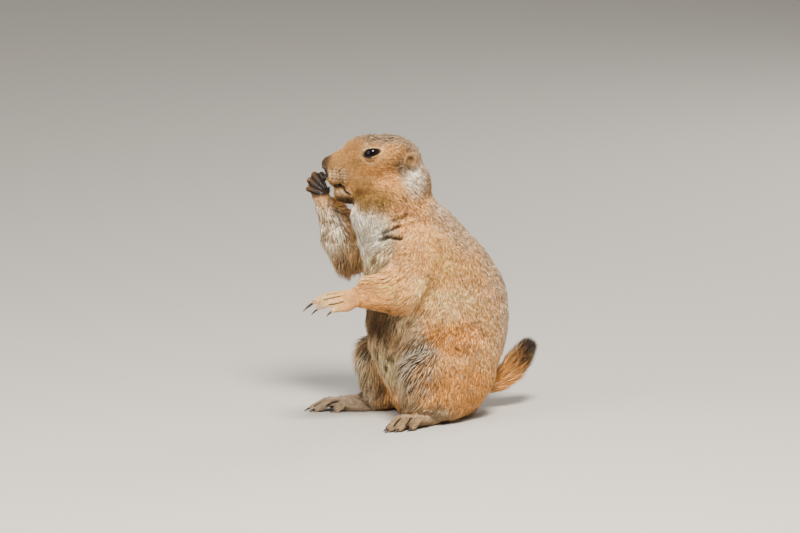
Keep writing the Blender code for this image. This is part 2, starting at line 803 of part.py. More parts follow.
def tail_locks():
    """The locks of the tail, row by row from its root to its brush."""
    draw = random.Random(LOCK_SEED)
    path = [Vector(point) for point in eased(TAIL_PATH, TAIL_STEPS)]
    made = []
    for row in range(LOCK_ROWS):
        t = row / (LOCK_ROWS - 1)
        index = min(round(t * (len(path) - 1)), len(path) - 2)
        centre, way = path[index], (path[index + 1] - path[index]).normalized()
        first = way.orthogonal().normalized()
        depth = along(TAIL_RADII[1:], t) * LOCK_DEPTH
        for turn in turns(LOCKS_IN_ROW):
            turn += math.pi * (row % 2 + draw.uniform(-LOCK_TURN, LOCK_TURN)) / LOCKS_IN_ROW
            out = Matrix.Rotation(turn, 3, way) @ first
            spread = math.radians(along(LOCK_SPREAD, t) * draw.uniform(*LOCK_SPREAD_SHARES))
            heading = way * math.cos(spread) + out * math.sin(spread)
            length = along(LOCK_LENGTH, t) * draw.uniform(*LOCK_LENGTH_SHARES)
            made.append(lock(centre + out * depth, heading, out, length, way * LOCK_BEND))
    return made


def build_tail():
    """The tail, held up and back from the rump, with its locks fused onto its core."""
    voxel, passes, faces = MELT_TAIL
    clay = bmesh.new()
    limb(clay, *zip((TAIL_ROOT, *TAIL_PATH), TAIL_RADII))
    tail = melt(object_of(clay), voxel, passes)
    thin(tail, faces)
    group = bpy.data.collections.new("locks")
    for piece in tail_locks():
        group.objects.link(piece)
    fuse = tail.modifiers.new("Union", "BOOLEAN")
    fuse.operand_type = "COLLECTION"
    fuse.collection = group
    fuse.operation = "UNION"
    fuse.solver = "EXACT"
    settle(tail)
    for piece in list(group.objects):
        remove(piece)
    bpy.data.collections.remove(group)
    keep_largest(tail)
    finish(tail, "tail", "fur_tail")


def centre():
    """Moves every piece so that the origin is under the middle of the whole animal, on the floor."""
    pieces = list(bpy.context.scene.objects)
    points = [vertex.co for piece in pieces for vertex in piece.data.vertices]
    middle = [(min(p[axis] for p in points) + max(p[axis] for p in points)) / 2 for axis in (0, 1)]
    for piece in pieces:
        piece.data.transform(Matrix.Translation((-middle[0], -middle[1], 0)))


def build():
    """Models every piece."""
    voxel, passes, _ = MELT_BODY
    whole = melt(object_of(body_clay(), "body"), voxel, passes)
    point, normal = NECK_CUT
    below_cut = Vector(point) - Vector(normal) * NECK_OVERLAP
    skull = piece_of(whole, beyond((below_cut, normal)))
    build_open_hand(whole)
    build_fist(whole)
    for side in SIDES:
        build_foot(whole, side)
    build_tail()
    part_trunk(whole)
    build_head(skull)
    centre()


def main():
    """Clears the scene and models the animal."""
    for old in list(bpy.data.objects):
        bpy.data.objects.remove(old)
    build()


if __name__ == "__main__":
    main()
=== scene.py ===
"""Looks of a prairie dog that sits up to feed: its skin, coat, eyes, claws, whiskers and a plain studio.

Places are named in millimetres, in the frame of the body or of the head, and Anatomy turns them into
metres of the row frame.
"""

import sys

import logging
import math
from dataclasses import dataclass, field
from enum import Enum
from itertools import product

import bmesh
import bpy
import numpy as np
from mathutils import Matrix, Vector
from mathutils.bvhtree import BVHTree


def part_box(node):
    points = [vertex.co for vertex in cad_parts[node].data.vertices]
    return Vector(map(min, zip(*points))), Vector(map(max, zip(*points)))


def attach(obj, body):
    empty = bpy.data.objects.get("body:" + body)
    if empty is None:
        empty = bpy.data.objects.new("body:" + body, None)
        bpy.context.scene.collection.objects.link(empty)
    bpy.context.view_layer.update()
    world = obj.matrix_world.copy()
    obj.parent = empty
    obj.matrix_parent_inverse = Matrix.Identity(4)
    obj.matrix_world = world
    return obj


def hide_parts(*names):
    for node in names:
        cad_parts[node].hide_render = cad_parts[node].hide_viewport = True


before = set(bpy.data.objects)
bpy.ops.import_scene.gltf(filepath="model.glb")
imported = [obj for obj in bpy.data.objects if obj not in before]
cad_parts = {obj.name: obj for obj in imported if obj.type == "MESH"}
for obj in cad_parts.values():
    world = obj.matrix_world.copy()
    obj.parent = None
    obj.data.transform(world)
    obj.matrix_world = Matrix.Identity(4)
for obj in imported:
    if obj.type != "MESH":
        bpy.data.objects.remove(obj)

LOG = logging.getLogger("prairie_dog")
MM = 0.001
HAIR = "hair"
UNWRAP = "OFBake"
TUFT_PATCH = 0.003
EYE_CENTRE = (12.9, -10.2, 10.7)
Triple = tuple[float, float, float]


class Space(Enum):
    """The frame in which a place is named."""

    BODY = "body"
    HEAD = "head"


Seen = dict[Space, np.ndarray]


class Side(Enum):
    """The two sides of the animal, by the sign of their x."""

    LEFT = 1
    RIGHT = -1

    @property
    def label(self) -> str:
        """The side's word in the names of nodes and pieces."""
        return self.name.lower()


class Slot(Enum):
    """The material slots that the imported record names."""

    BUFF = "fur_buff"
    CREAM = "fur_cream"
    TAIL = "fur_tail"
    NOSE = "nose_skin"
    CLAW = "claw"
    EYE = "eye"


class Tone(Enum):
    """Colours of hair, skin and horn, and of painted shade, in linear light."""

    GROUND = (0.82, 0.43, 0.16)
    FACE = (0.37, 0.185, 0.055)
    BACK = (0.64, 0.38, 0.21)
    NAPE = (0.46, 0.32, 0.205)
    BUFF = (1.0, 0.50, 0.16)
    PALE_BUFF = (1.0, 0.575, 0.24)
    CINNAMON = (0.80, 0.35, 0.08)
    RUST = (0.36, 0.14, 0.03)
    OCHRE = (0.22, 0.115, 0.022)
    CREAM = (0.80, 0.57, 0.32)
    WHITE = (1.0, 0.86, 0.66)
    FROST = (0.62, 0.45, 0.31)
    TAN = (0.58, 0.38, 0.19)
    # Painted shade, for places in the shadow of the near arm, the belly and the far elbow.
    SHADE = (0.15, 0.09, 0.04)
    KNEE = (0.17, 0.125, 0.085)
    GREY_BROWN = (0.17, 0.105, 0.055)
    # Dark umber: the nose's own colour, and also painted shade in creases, under the near arm and under the
    # chin.
    UMBER = (0.07, 0.035, 0.012)
    SOOT = (0.020, 0.013, 0.009)
    PAW = (0.41, 0.275, 0.15)
    FOOT = (0.52, 0.38, 0.25)
    HAND = (0.93, 0.49, 0.18)
    PAD = (0.035, 0.023, 0.018)
    LEATHER = (0.075, 0.05, 0.036)
    HOLLOW = (0.22, 0.12, 0.045)
    EAR = (0.44, 0.26, 0.12)


def unit(vectors: np.ndarray) -> np.ndarray:
    """Scales each row to a length of one."""
    return vectors / np.maximum(np.linalg.norm(vectors, axis=-1, keepdims=True), 1e-12)


def smooth_step(share: np.ndarray) -> np.ndarray:
    """A soft ramp from 0 to 1."""
    held = np.clip(share, 0.0, 1.0)
    return held * held * (3.0 - 2.0 * held)


def noise(points: np.ndarray, size: float, seed: int) -> np.ndarray:
    """Smooth noise through space.

    Args:
        points: Places, one a row.
        size: Width of one swell, in the units of the places.
        seed: Picks one of many patterns.

    Returns:
        A number from -1 to 1 for each place.
    """
    cell = points / size
    base = np.floor(cell).astype(np.int64)
    part = smooth_step(cell - base)
    total = np.zeros(len(points))
    for corner in product((0, 1), repeat=3):
        mark = base + np.array(corner)
        code = (mark[:, 0] * 73856093) ^ (mark[:, 1] * 19349663) ^ (mark[:, 2] * 83492791) ^ (seed * 977)
        code = ((code ^ (code >> 13)) * 1274126177) & 0xFFFFFFFF
        code = ((code ^ (code >> 15)) * 2246822519) & 0xFFFFFFFF
        weight = np.prod(np.where(np.array(corner) == 1, part, 1.0 - part), axis=1)
        total += weight * (code / 0xFFFFFFFF)
    return total * 2.0 - 1.0


@dataclass(frozen=True)
class Anatomy:
    """Ties the named places of the animal to the row frame."""

    head_centre: Triple = (-5.0, -46.0, 204.0)
    head_yaw: float = -25.0
    eye: Triple = EYE_CENTRE
    shift: Triple = (0.0, 0.0, 0.0)

    @classmethod
    def measured(cls) -> "Anatomy":
        """Finds the shift of the row frame from where the left eye of the solids is.

        Returns:
            The animal's measures, with that shift.
        """
        low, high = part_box("eye_left")
        middle = np.array((low + high) / 2) / MM
        plain = cls()
        return cls(shift=tuple(middle - plain.body_of(np.array([plain.eye]), Space.HEAD)[0]))

    @property
    def turn(self) -> np.ndarray:
        """The matrix that turns a heading of the head into one of the body."""
        yaw = math.radians(self.head_yaw)
        return np.array(((math.cos(yaw), -math.sin(yaw), 0), (math.sin(yaw), math.cos(yaw), 0), (0, 0, 1)))

    def body_of(self, points: np.ndarray, space: Space) -> np.ndarray:
        """Places of a frame as places of the body, in millimetres."""
        points = np.atleast_2d(np.asarray(points, float))
        return points @ self.turn.T + np.array(self.head_centre) if space is Space.HEAD else points

    def heading(self, way: Triple, space: Space) -> np.ndarray:
        """A heading of a frame as a unit heading of the body."""
        way = np.asarray(way, float)
        return unit(self.turn @ way if space is Space.HEAD else way)

    def row(self, points: np.ndarray, space: Space = Space.BODY) -> np.ndarray:
        """Places of a frame, in millimetres, as places of the row frame, in metres."""
        return (self.body_of(points, space) + np.array(self.shift)) * MM

    def seen(self, points: np.ndarray) -> Seen:
        """Places of the row frame, in metres, as places of both frames, in millimetres."""
        body = np.asarray(points) / MM - np.array(self.shift)
        return {Space.BODY: body, Space.HEAD: (body - np.array(self.head_centre)) @ self.turn}


@dataclass(frozen=True)
class Patch:
    """A soft-edged egg of one value, on one side of the animal or on both."""

    centre: Triple
    radii: Triple
    value: Triple | float
    space: Space = Space.BODY
    paired: bool = False
    edge: float = 0.6
    share: float = 1.0

    def weight(self, seen: Seen) -> np.ndarray:
        """How far each place lies inside the patch, from 0 to 1.

        Args:
            seen: Places, in both frames.

        Returns:
            One weight for each place.
        """
        points = seen[self.space]
        if self.paired:
            points = points * (np.sign(self.centre[0]), 1, 1)
            points = np.column_stack((np.abs(points[:, 0]), points[:, 1:]))
        centre = (abs(self.centre[0]), *self.centre[1:]) if self.paired else self.centre
        distance = np.linalg.norm((points - np.array(centre)) / np.array(self.radii), axis=1)
        return self.share * smooth_step((1.0 - distance) / self.edge + 0.5)


@dataclass(frozen=True)
class Field:
    """A quantity over the whole animal: a ground value with patches laid over it in order."""

    ground: Triple | float
    patches: tuple[Patch, ...]

    def at(self, seen: Seen) -> np.ndarray:
        """The value at each place, one row for each.

        Args:
            seen: Places, in both frames.

        Returns:
            An array of places by channels.
        """
        ground = np.atleast_1d(np.asarray(self.ground, float))
        value = np.repeat(ground[None, :], len(seen[Space.BODY]), axis=0)
        for patch in self.patches:
            weight = patch.weight(seen)[:, None]
            value = value + (np.atleast_1d(np.asarray(patch.value, float)) - value) * weight
        return value

    def number(self, seen: Seen) -> np.ndarray:
        """The value at each place, as a flat array."""
        return self.at(seen)[:, 0]


def tone_patch(centre: Triple, radii: Triple, tone: Tone, **more: object) -> Patch:
    """A patch of one of the named tones."""
    return Patch(centre, radii, tone.value, **more)


HEAD = {"space": Space.HEAD}
HEAD_PAIR = {"space": Space.HEAD, "paired": True}
PAIR = {"paired": True}

MARKINGS = Field(
    Tone.GROUND.value,
    (
        tone_patch((0, 46, 112), (38, 30, 92), Tone.BACK, edge=0.8),
        tone_patch((0, 56, 66), (50, 18, 70), Tone.FROST, edge=0.8, share=0.5),
        tone_patch((0, 0, 184), (30, 26, 28), Tone.NAPE, edge=0.8, share=0.8),
        tone_patch((26, 6, 158), (20, 26, 28), Tone.FROST, edge=1.0, share=0.6, **PAIR),
        tone_patch((46, -24, 122), (18, 26, 34), Tone.BUFF, edge=0.9, **PAIR),
        tone_patch((50, -46, 112), (14, 16, 12), Tone.PALE_BUFF, edge=1.0, share=0.9, **PAIR),
        tone_patch((48, -10, 96), (16, 30, 13), Tone.PALE_BUFF, edge=0.8, **PAIR),
        tone_patch((52, -14, 68), (18, 28, 13), Tone.CINNAMON, edge=0.9, share=0.9, **PAIR),
        # A band of painted shade low on each flank, above the haunch.
        tone_patch((56, -14, 62), (14, 22, 8), Tone.RUST, edge=1.0, share=0.55, **PAIR),
        tone_patch((56, -8, 49), (16, 28, 4), Tone.BUFF, edge=1.0, share=0.5, **PAIR),
        tone_patch((54, -4, 26), (20, 34, 22), Tone.CINNAMON, edge=0.9, share=0.82, **PAIR),
        tone_patch((0, 60, 40), (44, 14, 36), Tone.FROST, edge=0.8, share=0.4),
        tone_patch((0, -66, 118), (32, 20, 30), Tone.TAN, edge=0.9),
        tone_patch((2, -70, 152), (30, 26, 28), Tone.WHITE, edge=0.7),
        tone_patch((16, -60, 128), (22, 18, 10), Tone.CREAM, edge=1.0, share=0.8),
        # Painted shadow of the near arm on the belly.
        tone_patch((6, -60, 80), (31, 20, 27), Tone.SHADE, edge=0.9),
        tone_patch((6, -60, 82), (22, 14, 20), Tone.UMBER, edge=1.0, share=0.5),
        tone_patch((32, -48, 76), (10, 16, 15), Tone.CREAM, edge=1.0, share=0.8),
        tone_patch((4, -52, 46), (32, 18, 18), Tone.CREAM, edge=0.9, share=0.9),
        tone_patch((4, -48, 32), (20, 18, 20), Tone.CREAM, edge=0.9, share=0.9),
        # Painted shadow in the crease between the belly and each thigh.
        tone_patch((27, -44, 20), (4.5, 14, 18), Tone.UMBER, edge=1.0, share=0.8, **PAIR),
        tone_patch((43, -41, 46), (15, 18, 23), Tone.KNEE, edge=0.8, **PAIR),
        # Painted shade on the top of the far thigh, under the belly.
        tone_patch((-36, -54, 52), (16, 14, 16), Tone.SHADE, edge=0.9, share=0.8),
        # Painted shade in the crease along the front of the near thigh.
        tone_patch((36, -50, 46), (9, 8, 20), Tone.UMBER, edge=1.0, share=0.5),
        tone_patch((40, -52, 21), (12, 13, 14), Tone.TAN, edge=0.8, share=0.9, **PAIR),
        tone_patch((-42, -46, 24), (16, 20, 24), Tone.CREAM, edge=0.8, share=0.8),
        tone_patch((50, -50, 5), (26, 40, 13), Tone.PAW, edge=0.5),
        tone_patch((-46, -68, 5), (26, 40, 13), Tone.FOOT, edge=0.5),
        tone_patch((46, -66, 112), (16, 30, 14), Tone.BUFF, edge=0.7),
        # Painted shade on the underside of the near forearm.
        tone_patch((46, -76, 95), (14, 20, 8), Tone.RUST, edge=1.0, share=0.9),
        tone_patch((51, -40, 103), (12, 12, 13), Tone.PALE_BUFF, edge=1.0),
        tone_patch((44, -84, 106), (14, 24, 12), Tone.CINNAMON, edge=1.0, share=0.6),
        tone_patch((40, -116, 106), (17, 17, 15), Tone.HAND, edge=0.7),
        tone_patch((40, -123, 105), (17, 12, 12), Tone.CREAM, edge=0.9, share=0.6),
        tone_patch((-38, -80, 150), (15, 17, 32), Tone.WHITE, edge=0.7, share=0.6),
        tone_patch((-36, -65, 162), (13, 7, 24), Tone.CINNAMON, edge=1.0, share=0.8),
        tone_patch((-42, -96, 150), (6, 9, 32), Tone.GREY_BROWN, edge=1.0, share=0.7),
        # Painted shade under the far elbow.
        tone_patch((-42, -62, 117), (16, 16, 9), Tone.SHADE, edge=0.9, share=0.7),
        tone_patch((0, -2, 0), (34, 52, 36), Tone.FACE, edge=0.4, **HEAD),
        tone_patch((0, 28, -2), (26, 12, 26), Tone.NAPE, edge=0.8, **HEAD),
        tone_patch((0, 8, 25), (18, 32, 9), Tone.NAPE, edge=0.8, share=0.7, **HEAD),
        tone_patch((0, -4, 27), (16, 27, 8), Tone.GREY_BROWN, edge=1.0, share=0.95, **HEAD),
        tone_patch((18, 4, 14), (9, 14, 8), Tone.BUFF, edge=1.0, share=0.35, **HEAD_PAIR),
        tone_patch((14, -10, 15.4), (8, 8.5, 1.7), Tone.CREAM, edge=0.8, share=0.7, **HEAD_PAIR),
        tone_patch((17, -4, -2), (11, 15, 5), Tone.RUST, edge=0.9, share=0.7, **HEAD_PAIR),
        tone_patch((23, 9, -13), (13, 17, 9), Tone.BUFF, edge=0.9, share=0.8, **HEAD_PAIR),
        tone_patch((9, -37, -7), (9, 9, 6), Tone.CREAM, edge=0.8, share=0.45, **HEAD_PAIR),
        tone_patch((21, 25, -7), (11, 11, 15), Tone.WHITE, edge=1.0, share=0.85, **HEAD_PAIR),
        tone_patch((19, -6, -27), (18, 22, 11), Tone.OCHRE, edge=0.9, share=0.95, **HEAD_PAIR),
        tone_patch((8, -33, -21.5), (8, 7, 2.6), Tone.CREAM, edge=0.9, share=0.4, **HEAD_PAIR),
        # Painted shade in the cleft of the mouth, on both sides.
        tone_patch((9, -38.5, -16.8), (5.5, 5.5, 1.7), Tone.SOOT, edge=0.8, share=0.9, **HEAD_PAIR),
        # Painted shade under the chin.
        tone_patch((4, -32, -29), (12, 10, 6.5), Tone.UMBER, edge=0.9, share=0.95, **HEAD_PAIR),
        # Painted shade in front of and below each ear.
        tone_patch((21, 15.5, 1), (6, 5.5, 8), Tone.GREY_BROWN, edge=0.9, share=0.75, **HEAD_PAIR),
        tone_patch((23, 21.4, 8.4), (5, 6.4, 6.8), Tone.EAR, edge=0.5, **HEAD_PAIR),
        tone_patch((23, 19.6, 5.6), (5, 2.8, 4.4), Tone.HOLLOW, edge=0.8, **HEAD_PAIR),
        tone_patch((0, -47, 2), (8, 8, 7), Tone.UMBER, edge=0.8, **HEAD),
        # Painted shade in each nostril.
        tone_patch((6, -45.2, -7.4), (5, 2.8, 3.6), Tone.SOOT, edge=0.5, **HEAD_PAIR),
        tone_patch((0, -51, -6), (8, 8, 6.5), Tone.UMBER, edge=0.6, **HEAD),
        tone_patch((0, 52, 22), (9, 20, 12), Tone.CINNAMON, edge=0.6),
        tone_patch((-34, -93, 188), (15, 14, 12), Tone.SOOT, edge=0.4, share=0.9),
        tone_patch((-36, -74, 173), (12, 8, 9), Tone.BUFF, edge=0.6),
    ),
)

LENGTH = Field(
    6.2,
    (
        Patch((0, -60, 110), (42, 26, 50), 11.0, edge=0.8),
        Patch((0, -50, 50), (38, 26, 50), 12.0, edge=0.8),
        Patch((50, 4, 45), (20, 36, 42), 6.8, edge=0.8, **PAIR),
        Patch((43, -44, 44), (18, 24, 29), 13.5, edge=0.9, **PAIR),
        Patch((38, -50, 14), (16, 20, 14), 9.5, edge=0.9, **PAIR),
        Patch((52, 0, 8), (20, 34, 9), 9.0, edge=0.9, **PAIR),
        Patch((44, -78, 108), (15, 26, 13), 5.0, edge=0.7),
        Patch((44, -66, 122), (14, 18, 12), 9.0, edge=0.9),
        Patch((51, -38, 104), (13, 13, 18), 10.0, edge=0.9, **PAIR),
        Patch((28, -54, 158), (12, 16, 14), 4.5, edge=0.8),
        Patch((-36, -76, 150), (17, 26, 32), 10.5, edge=0.7),
        Patch((-42, -64, 124), (16, 18, 15), 15.0, edge=0.9),
        Patch((-24, -70, 154), (9, 14, 26), 12.5, edge=0.9),
        Patch((-36, -76, 173), (13, 9, 9), 8.0, edge=0.9),
        Patch((-36, -66, 165), (13, 8, 14), 13.0, edge=0.9),
        Patch((-62, -34, 42), (11, 34, 32), 7.0, edge=0.9),
        Patch((-60, -62, 122), (12, 20, 22), 7.0, edge=0.9),
        Patch((0, -40, -25), (12, 8, 8), 4.0, edge=0.9, **HEAD),
        Patch((50, -52, 4), (26, 42, 12), 2.4, edge=0.6),
        Patch((-46, -70, 4), (26, 42, 12), 2.4, edge=0.6),
        Patch((40, -112, 106), (18, 26, 17), 1.9, edge=0.5),
        Patch((-34, -91, 188), (16, 17, 15), 1.4, edge=0.4),
        Patch((0, 0, 0), (36, 50, 40), 4.6, edge=0.4, **HEAD),
        Patch((0, -30, -2), (26, 30, 26), 2.6, edge=0.9, **HEAD),
        Patch((0, -44, -4), (13, 15, 14), 1.5, edge=0.8, **HEAD),
        Patch((0, -48, 2), (8, 6, 6), 1.1, edge=0.8, **HEAD),
        Patch((20, 26, -6), (12, 12, 16), 7.0, edge=0.9, **HEAD_PAIR),
        Patch((0, -2, 23), (16, 12, 8), 5.6, edge=0.9, **HEAD),
        Patch((0, -18, -34), (16, 16, 9), 8.0, edge=0.9, **HEAD),
        Patch((20, 13, 3), (6, 5, 9), 4.4, edge=0.9, **HEAD_PAIR),
        Patch((13, -10, 11), (9, 11, 7), 1.5, edge=0.9, **HEAD_PAIR),
        Patch((22, 21, 7), (7, 9, 9), 2.0, edge=0.6, **HEAD_PAIR),
    ),
)

LIFT = Field(
    27.0,
    (
        Patch((0, -50, 100), (40, 30, 80), 32.0, edge=0.8),
        Patch((43, -44, 44), (18, 24, 29), 34.0, edge=0.9, **PAIR),
        Patch((-40, -66, 134), (18, 22, 26), 38.0, edge=0.9),
        Patch((-36, -70, 168), (13, 11, 14), 48.0, edge=0.9),
        Patch((44, -66, 124), (14, 18, 12), 36.0, edge=0.9),
        Patch((51, -38, 104), (13, 13, 18), 40.0, edge=0.9, **PAIR),
        Patch((-62, -34, 42), (13, 36, 34), 12.0, edge=0.9),
        Patch((-60, -62, 122), (14, 22, 24), 12.0, edge=0.9),
        Patch((0, -10, 0), (36, 50, 40), 18.0, edge=0.5, **HEAD),
        Patch((20, 24, -10), (12, 14, 16), 27.0, edge=0.8, **HEAD_PAIR),
    ),
)

GRIZZLE = Field(
    0.36,
    (
        Patch((0, 44, 104), (56, 46, 104), 1.0, edge=0.9),
        Patch((46, -6, 132), (20, 34, 26), 0.5, edge=0.9, **PAIR),
        Patch((0, -5, 190), (34, 32, 40), 0.9, edge=0.9),
        Patch((0, -58, 90), (40, 30, 90), 0.25, edge=0.8),
        Patch((42, -42, 42), (16, 21, 27), 1.3, edge=0.8, **PAIR),
        Patch((-38, -54, 56), (18, 16, 14), 0.3, edge=0.9),
        Patch((0, -6, -4), (46, 54, 48), 0.28, edge=0.15, **HEAD),
        Patch((0, 16, 20), (22, 28, 12), 0.62, edge=0.8, **HEAD),
    ),
)

WISP = Field(
    1.7,
    (
        Patch((0, -58, 100), (44, 30, 60), 3.2, edge=0.7),
        Patch((0, -50, 45), (52, 32, 50), 3.4, edge=0.7),
        Patch((-38, -76, 148), (20, 30, 36), 3.0, edge=0.7),
        Patch((0, -10, 0), (36, 50, 36), 1.2, edge=0.4, **HEAD),
    ),
)

STREAK = Field(
    0.2,
    (
        Patch((0, -60, 70), (42, 26, 44), 0.5, edge=0.7),
        Patch((0, -70, 138), (34, 28, 28), 0.34, edge=0.7),
        Patch((42, -44, 36), (17, 24, 32), 0.6, edge=0.7, **PAIR),
        Patch((-38, -76, 144), (18, 24, 34), 0.4, edge=0.7),
        Patch((0, -2, 0), (36, 52, 36), 0.12, edge=0.4, **HEAD),
    ),
)


BROAD = Field(
    1.0,
    (
        Patch((0, -25, 0), (40, 40, 38), 0.0, edge=0.3, **HEAD),
        Patch((20, 20, 5), (14, 16, 16), 0.0, edge=0.4, **HEAD_PAIR),
        Patch((40, -112, 106), (24, 30, 24), 0.0, edge=0.3),
        Patch((-34, -91, 186), (20, 20, 20), 0.0, edge=0.3),
        Patch((50, -55, 3), (32, 46, 17), 0.0, edge=0.3),
        Patch((-46, -74, 3), (32, 46, 17), 0.0, edge=0.3),
        Patch((0, 58, 28), (12, 26, 26), 0.4, edge=0.4),
    ),
)

NOSE_PAD = Patch((0, -50.2, -6.2), (9, 8, 6.8), 1.0, edge=0.25, **HEAD)
NOSE_DYE = Patch((0, -50, -3), (9, 9, 9), 1.0, edge=0.4, **HEAD)
BARE_PALM = Patch((-31, -89, 186), (7, 10, 8), 1.0, edge=0.5)
TAIL_CORE = Patch((0, 62, 32), (16, 28, 26), 1.0, edge=0.3)
TAIL_BARE = Patch((0.8, 66, 36), (12, 22, 22), 1.0, edge=0.3)


@dataclass(frozen=True)
class Guide:
    """The lie of the hair at one place: where it is and where the tips point."""

    centre: Triple
    heading: Triple
    space: Space = Space.BODY
    paired: bool = False
    reach: float = 1.0


LIE_GUIDES = (
    Guide((0, -51, 6), (0, 0.9, 0.3), Space.HEAD),
    Guide((0, -38, 12), (0, 1.0, 0.15), Space.HEAD),
    Guide((0, -20, 24), (0, 1.0, 0.1), Space.HEAD),
    Guide((0, 4, 26), (0, 1.0, -0.1), Space.HEAD),
    Guide((0, 26, 12), (0, 0.6, -0.8), Space.HEAD),
    Guide((7, -46, -5), (0.5, 0.85, -0.2), Space.HEAD, True),
    Guide((12, -32, -6), (0.2, 0.95, -0.25), Space.HEAD, True),
    Guide((14, -24, 6), (0.2, 0.97, 0.0), Space.HEAD, True),
    Guide((16, -10, 20), (0.1, 0.98, 0.1), Space.HEAD, True),
    Guide((20, -8, -2), (0.1, 0.92, -0.38), Space.HEAD, True),
    Guide((24, 8, -4), (0.0, 0.85, -0.52), Space.HEAD, True),
    Guide((22, -14, -18), (0.0, 0.85, -0.53), Space.HEAD, True),
    Guide((26, 8, -20), (0.0, 0.75, -0.66), Space.HEAD, True),
    Guide((22, 28, -10), (0.0, 0.5, -0.86), Space.HEAD, True),
    Guide((0, -34, -26), (0, 0.9, -0.4), Space.HEAD),
    Guide((8, -38, -18), (0.1, 0.8, -0.6), Space.HEAD, True),
    Guide((10, -16, -32), (0, 0.7, -0.7), Space.HEAD, True),
    Guide((0, -8, 196), (0, 0.62, -0.78)),
    Guide((0, 20, 160), (0, 0.5, -0.87)),
    Guide((0, 48, 120), (0, 0.25, -0.97)),
    Guide((0, 58, 70), (0, -0.05, -1.0)),
    Guide((0, 48, 30), (0, -0.2, -1.0)),
    Guide((30, -36, 176), (0.1, 0.3, -0.95), paired=True),
    Guide((30, 10, 150), (0.05, 0.35, -0.93), paired=True),
    Guide((42, 10, 110), (0.05, 0.12, -0.99), paired=True),
    Guide((46, 10, 70), (0.05, -0.02, -1.0), paired=True),
    Guide((54, 6, 40), (0.0, -0.08, -1.0), paired=True),
    Guide((48, 10, 12), (-0.1, -0.1, -1.0), paired=True),
    Guide((54, -20, 40), (0.0, -0.14, -0.99), paired=True),
    Guide((44, -50, 58), (0.05, -0.75, -0.6), paired=True),
    Guide((43, -60, 42), (0.0, -0.25, -0.97), paired=True),
    Guide((38, -52, 22), (0.0, -0.12, -0.99), paired=True),
    Guide((24, -44, 40), (-0.1, -0.25, -0.95), paired=True),
    Guide((0, -62, 165), (0.1, -0.25, -0.95)),
    Guide((20, -64, 152), (-0.55, -0.4, -0.72)),
    Guide((24, -60, 130), (-0.4, -0.35, -0.85)),
    Guide((-20, -64, 152), (0.1, -0.3, -0.95)),
    Guide((0, -60, 120), (0, -0.05, -1.0)),
    Guide((0, -60, 80), (0, 0.05, -1.0)),
    Guide((0, -50, 45), (0, 0.05, -1.0)),
    Guide((0, -42, 20), (0, 0.0, -1.0)),
    Guide((46, -24, 140), (0.15, -0.25, -0.95)),
    Guide((50, -42, 116), (0.1, -0.6, -0.78)),
    Guide((50, -56, 106), (0.0, -0.85, -0.5)),
    Guide((46, -74, 106), (-0.05, -0.97, -0.22)),
    Guide((42, -92, 108), (-0.05, -1.0, -0.1), reach=1.2),
    Guide((40, -118, 104), (-0.05, -0.95, -0.3), reach=1.2),
    Guide((44, -48, 94), (0.0, -0.45, -0.9)),
    Guide((-42, -36, 140), (-0.2, -0.5, -0.85)),
    Guide((-44, -62, 126), (-0.1, -0.1, -1.0), reach=1.3),
    Guide((-38, -76, 148), (-0.05, 0.2, -0.98), reach=1.3),
    Guide((-34, -92, 168), (-0.05, 0.1, -0.98)),
    Guide((-36, -72, 172), (0.1, 0.85, 0.3)),
    Guide((-36, -64, 162), (0.1, 0.7, -0.5)),
    Guide((-31, -92, 184), (0.0, -0.2, 0.98)),
    Guide((44, -44, 12), (0.37, -0.9, -0.2)),
    Guide((52, -66, 8), (0.37, -0.93, -0.1), reach=1.2),
    Guide((-40, -62, 12), (-0.34, -0.9, -0.2)),
    Guide((-48, -86, 8), (-0.34, -0.94, -0.1), reach=1.2),
    Guide((0, 50, 22), (0, 0.8, 0.6)),
    Guide((1, 66, 36), (0.05, 0.62, 0.78)),
)


@dataclass(frozen=True)
class Lie:
    """The direction of the hair over the whole animal."""

    anatomy: Anatomy
    guides: tuple[Guide, ...] = LIE_GUIDES
    softness: float = 3.0

    def at(self, points: np.ndarray, normals: np.ndarray) -> np.ndarray:
        """The heading of the hair.

        Args:
            points: Roots, in millimetres of the body.
            normals: The way out of the skin at each root.

        Returns:
            Unit headings along the skin.
        """
        total = np.zeros_like(points)
        for guide in self.guides:
            for sign in (1, -1) if guide.paired else (1,):
                flip = np.array((sign, 1, 1))
                centre = self.anatomy.body_of(np.array(guide.centre) * flip, guide.space)[0]
                way = self.anatomy.heading(np.array(guide.heading) * flip, guide.space)
                distance = np.linalg.norm(points - centre, axis=1) / guide.reach
                total += way / (distance[:, None] + self.softness) ** 4
        along = total - normals * np.sum(total * normals, axis=1, keepdims=True)
        return unit(along)


def mesh_of(name: str, points: np.ndarray, faces: np.ndarray) -> bpy.types.Mesh:
    """A mesh of triangles from arrays.

    Args:
        name: The mesh's name.
        points: Places, one a row.
        faces: Three vertex numbers a row.

    Returns:
        The mesh, shaded smooth.
    """
    mesh = bpy.data.meshes.new(name)
    mesh.vertices.add(len(points))
    mesh.vertices.foreach_set("co", points.astype(np.float32).ravel())
    mesh.loops.add(faces.size)
    mesh.loops.foreach_set("vertex_index", faces.astype(np.int32).ravel())
    mesh.polygons.add(len(faces))
    mesh.polygons.foreach_set("loop_start", np.arange(0, faces.size, 3, dtype=np.int32))
    mesh.update(calc_edges=True)
    mesh.shade_smooth()
    return mesh


def new_object(name: str, mesh: bpy.types.Mesh) -> bpy.types.Object:
    """An object that shows the mesh, linked to the scene.

    Args:
        name: The object's name.
        mesh: What it shows.

    Returns:
        The object.
    """
    made = bpy.data.objects.new(name, mesh)
    bpy.context.scene.collection.objects.link(made)
    return made


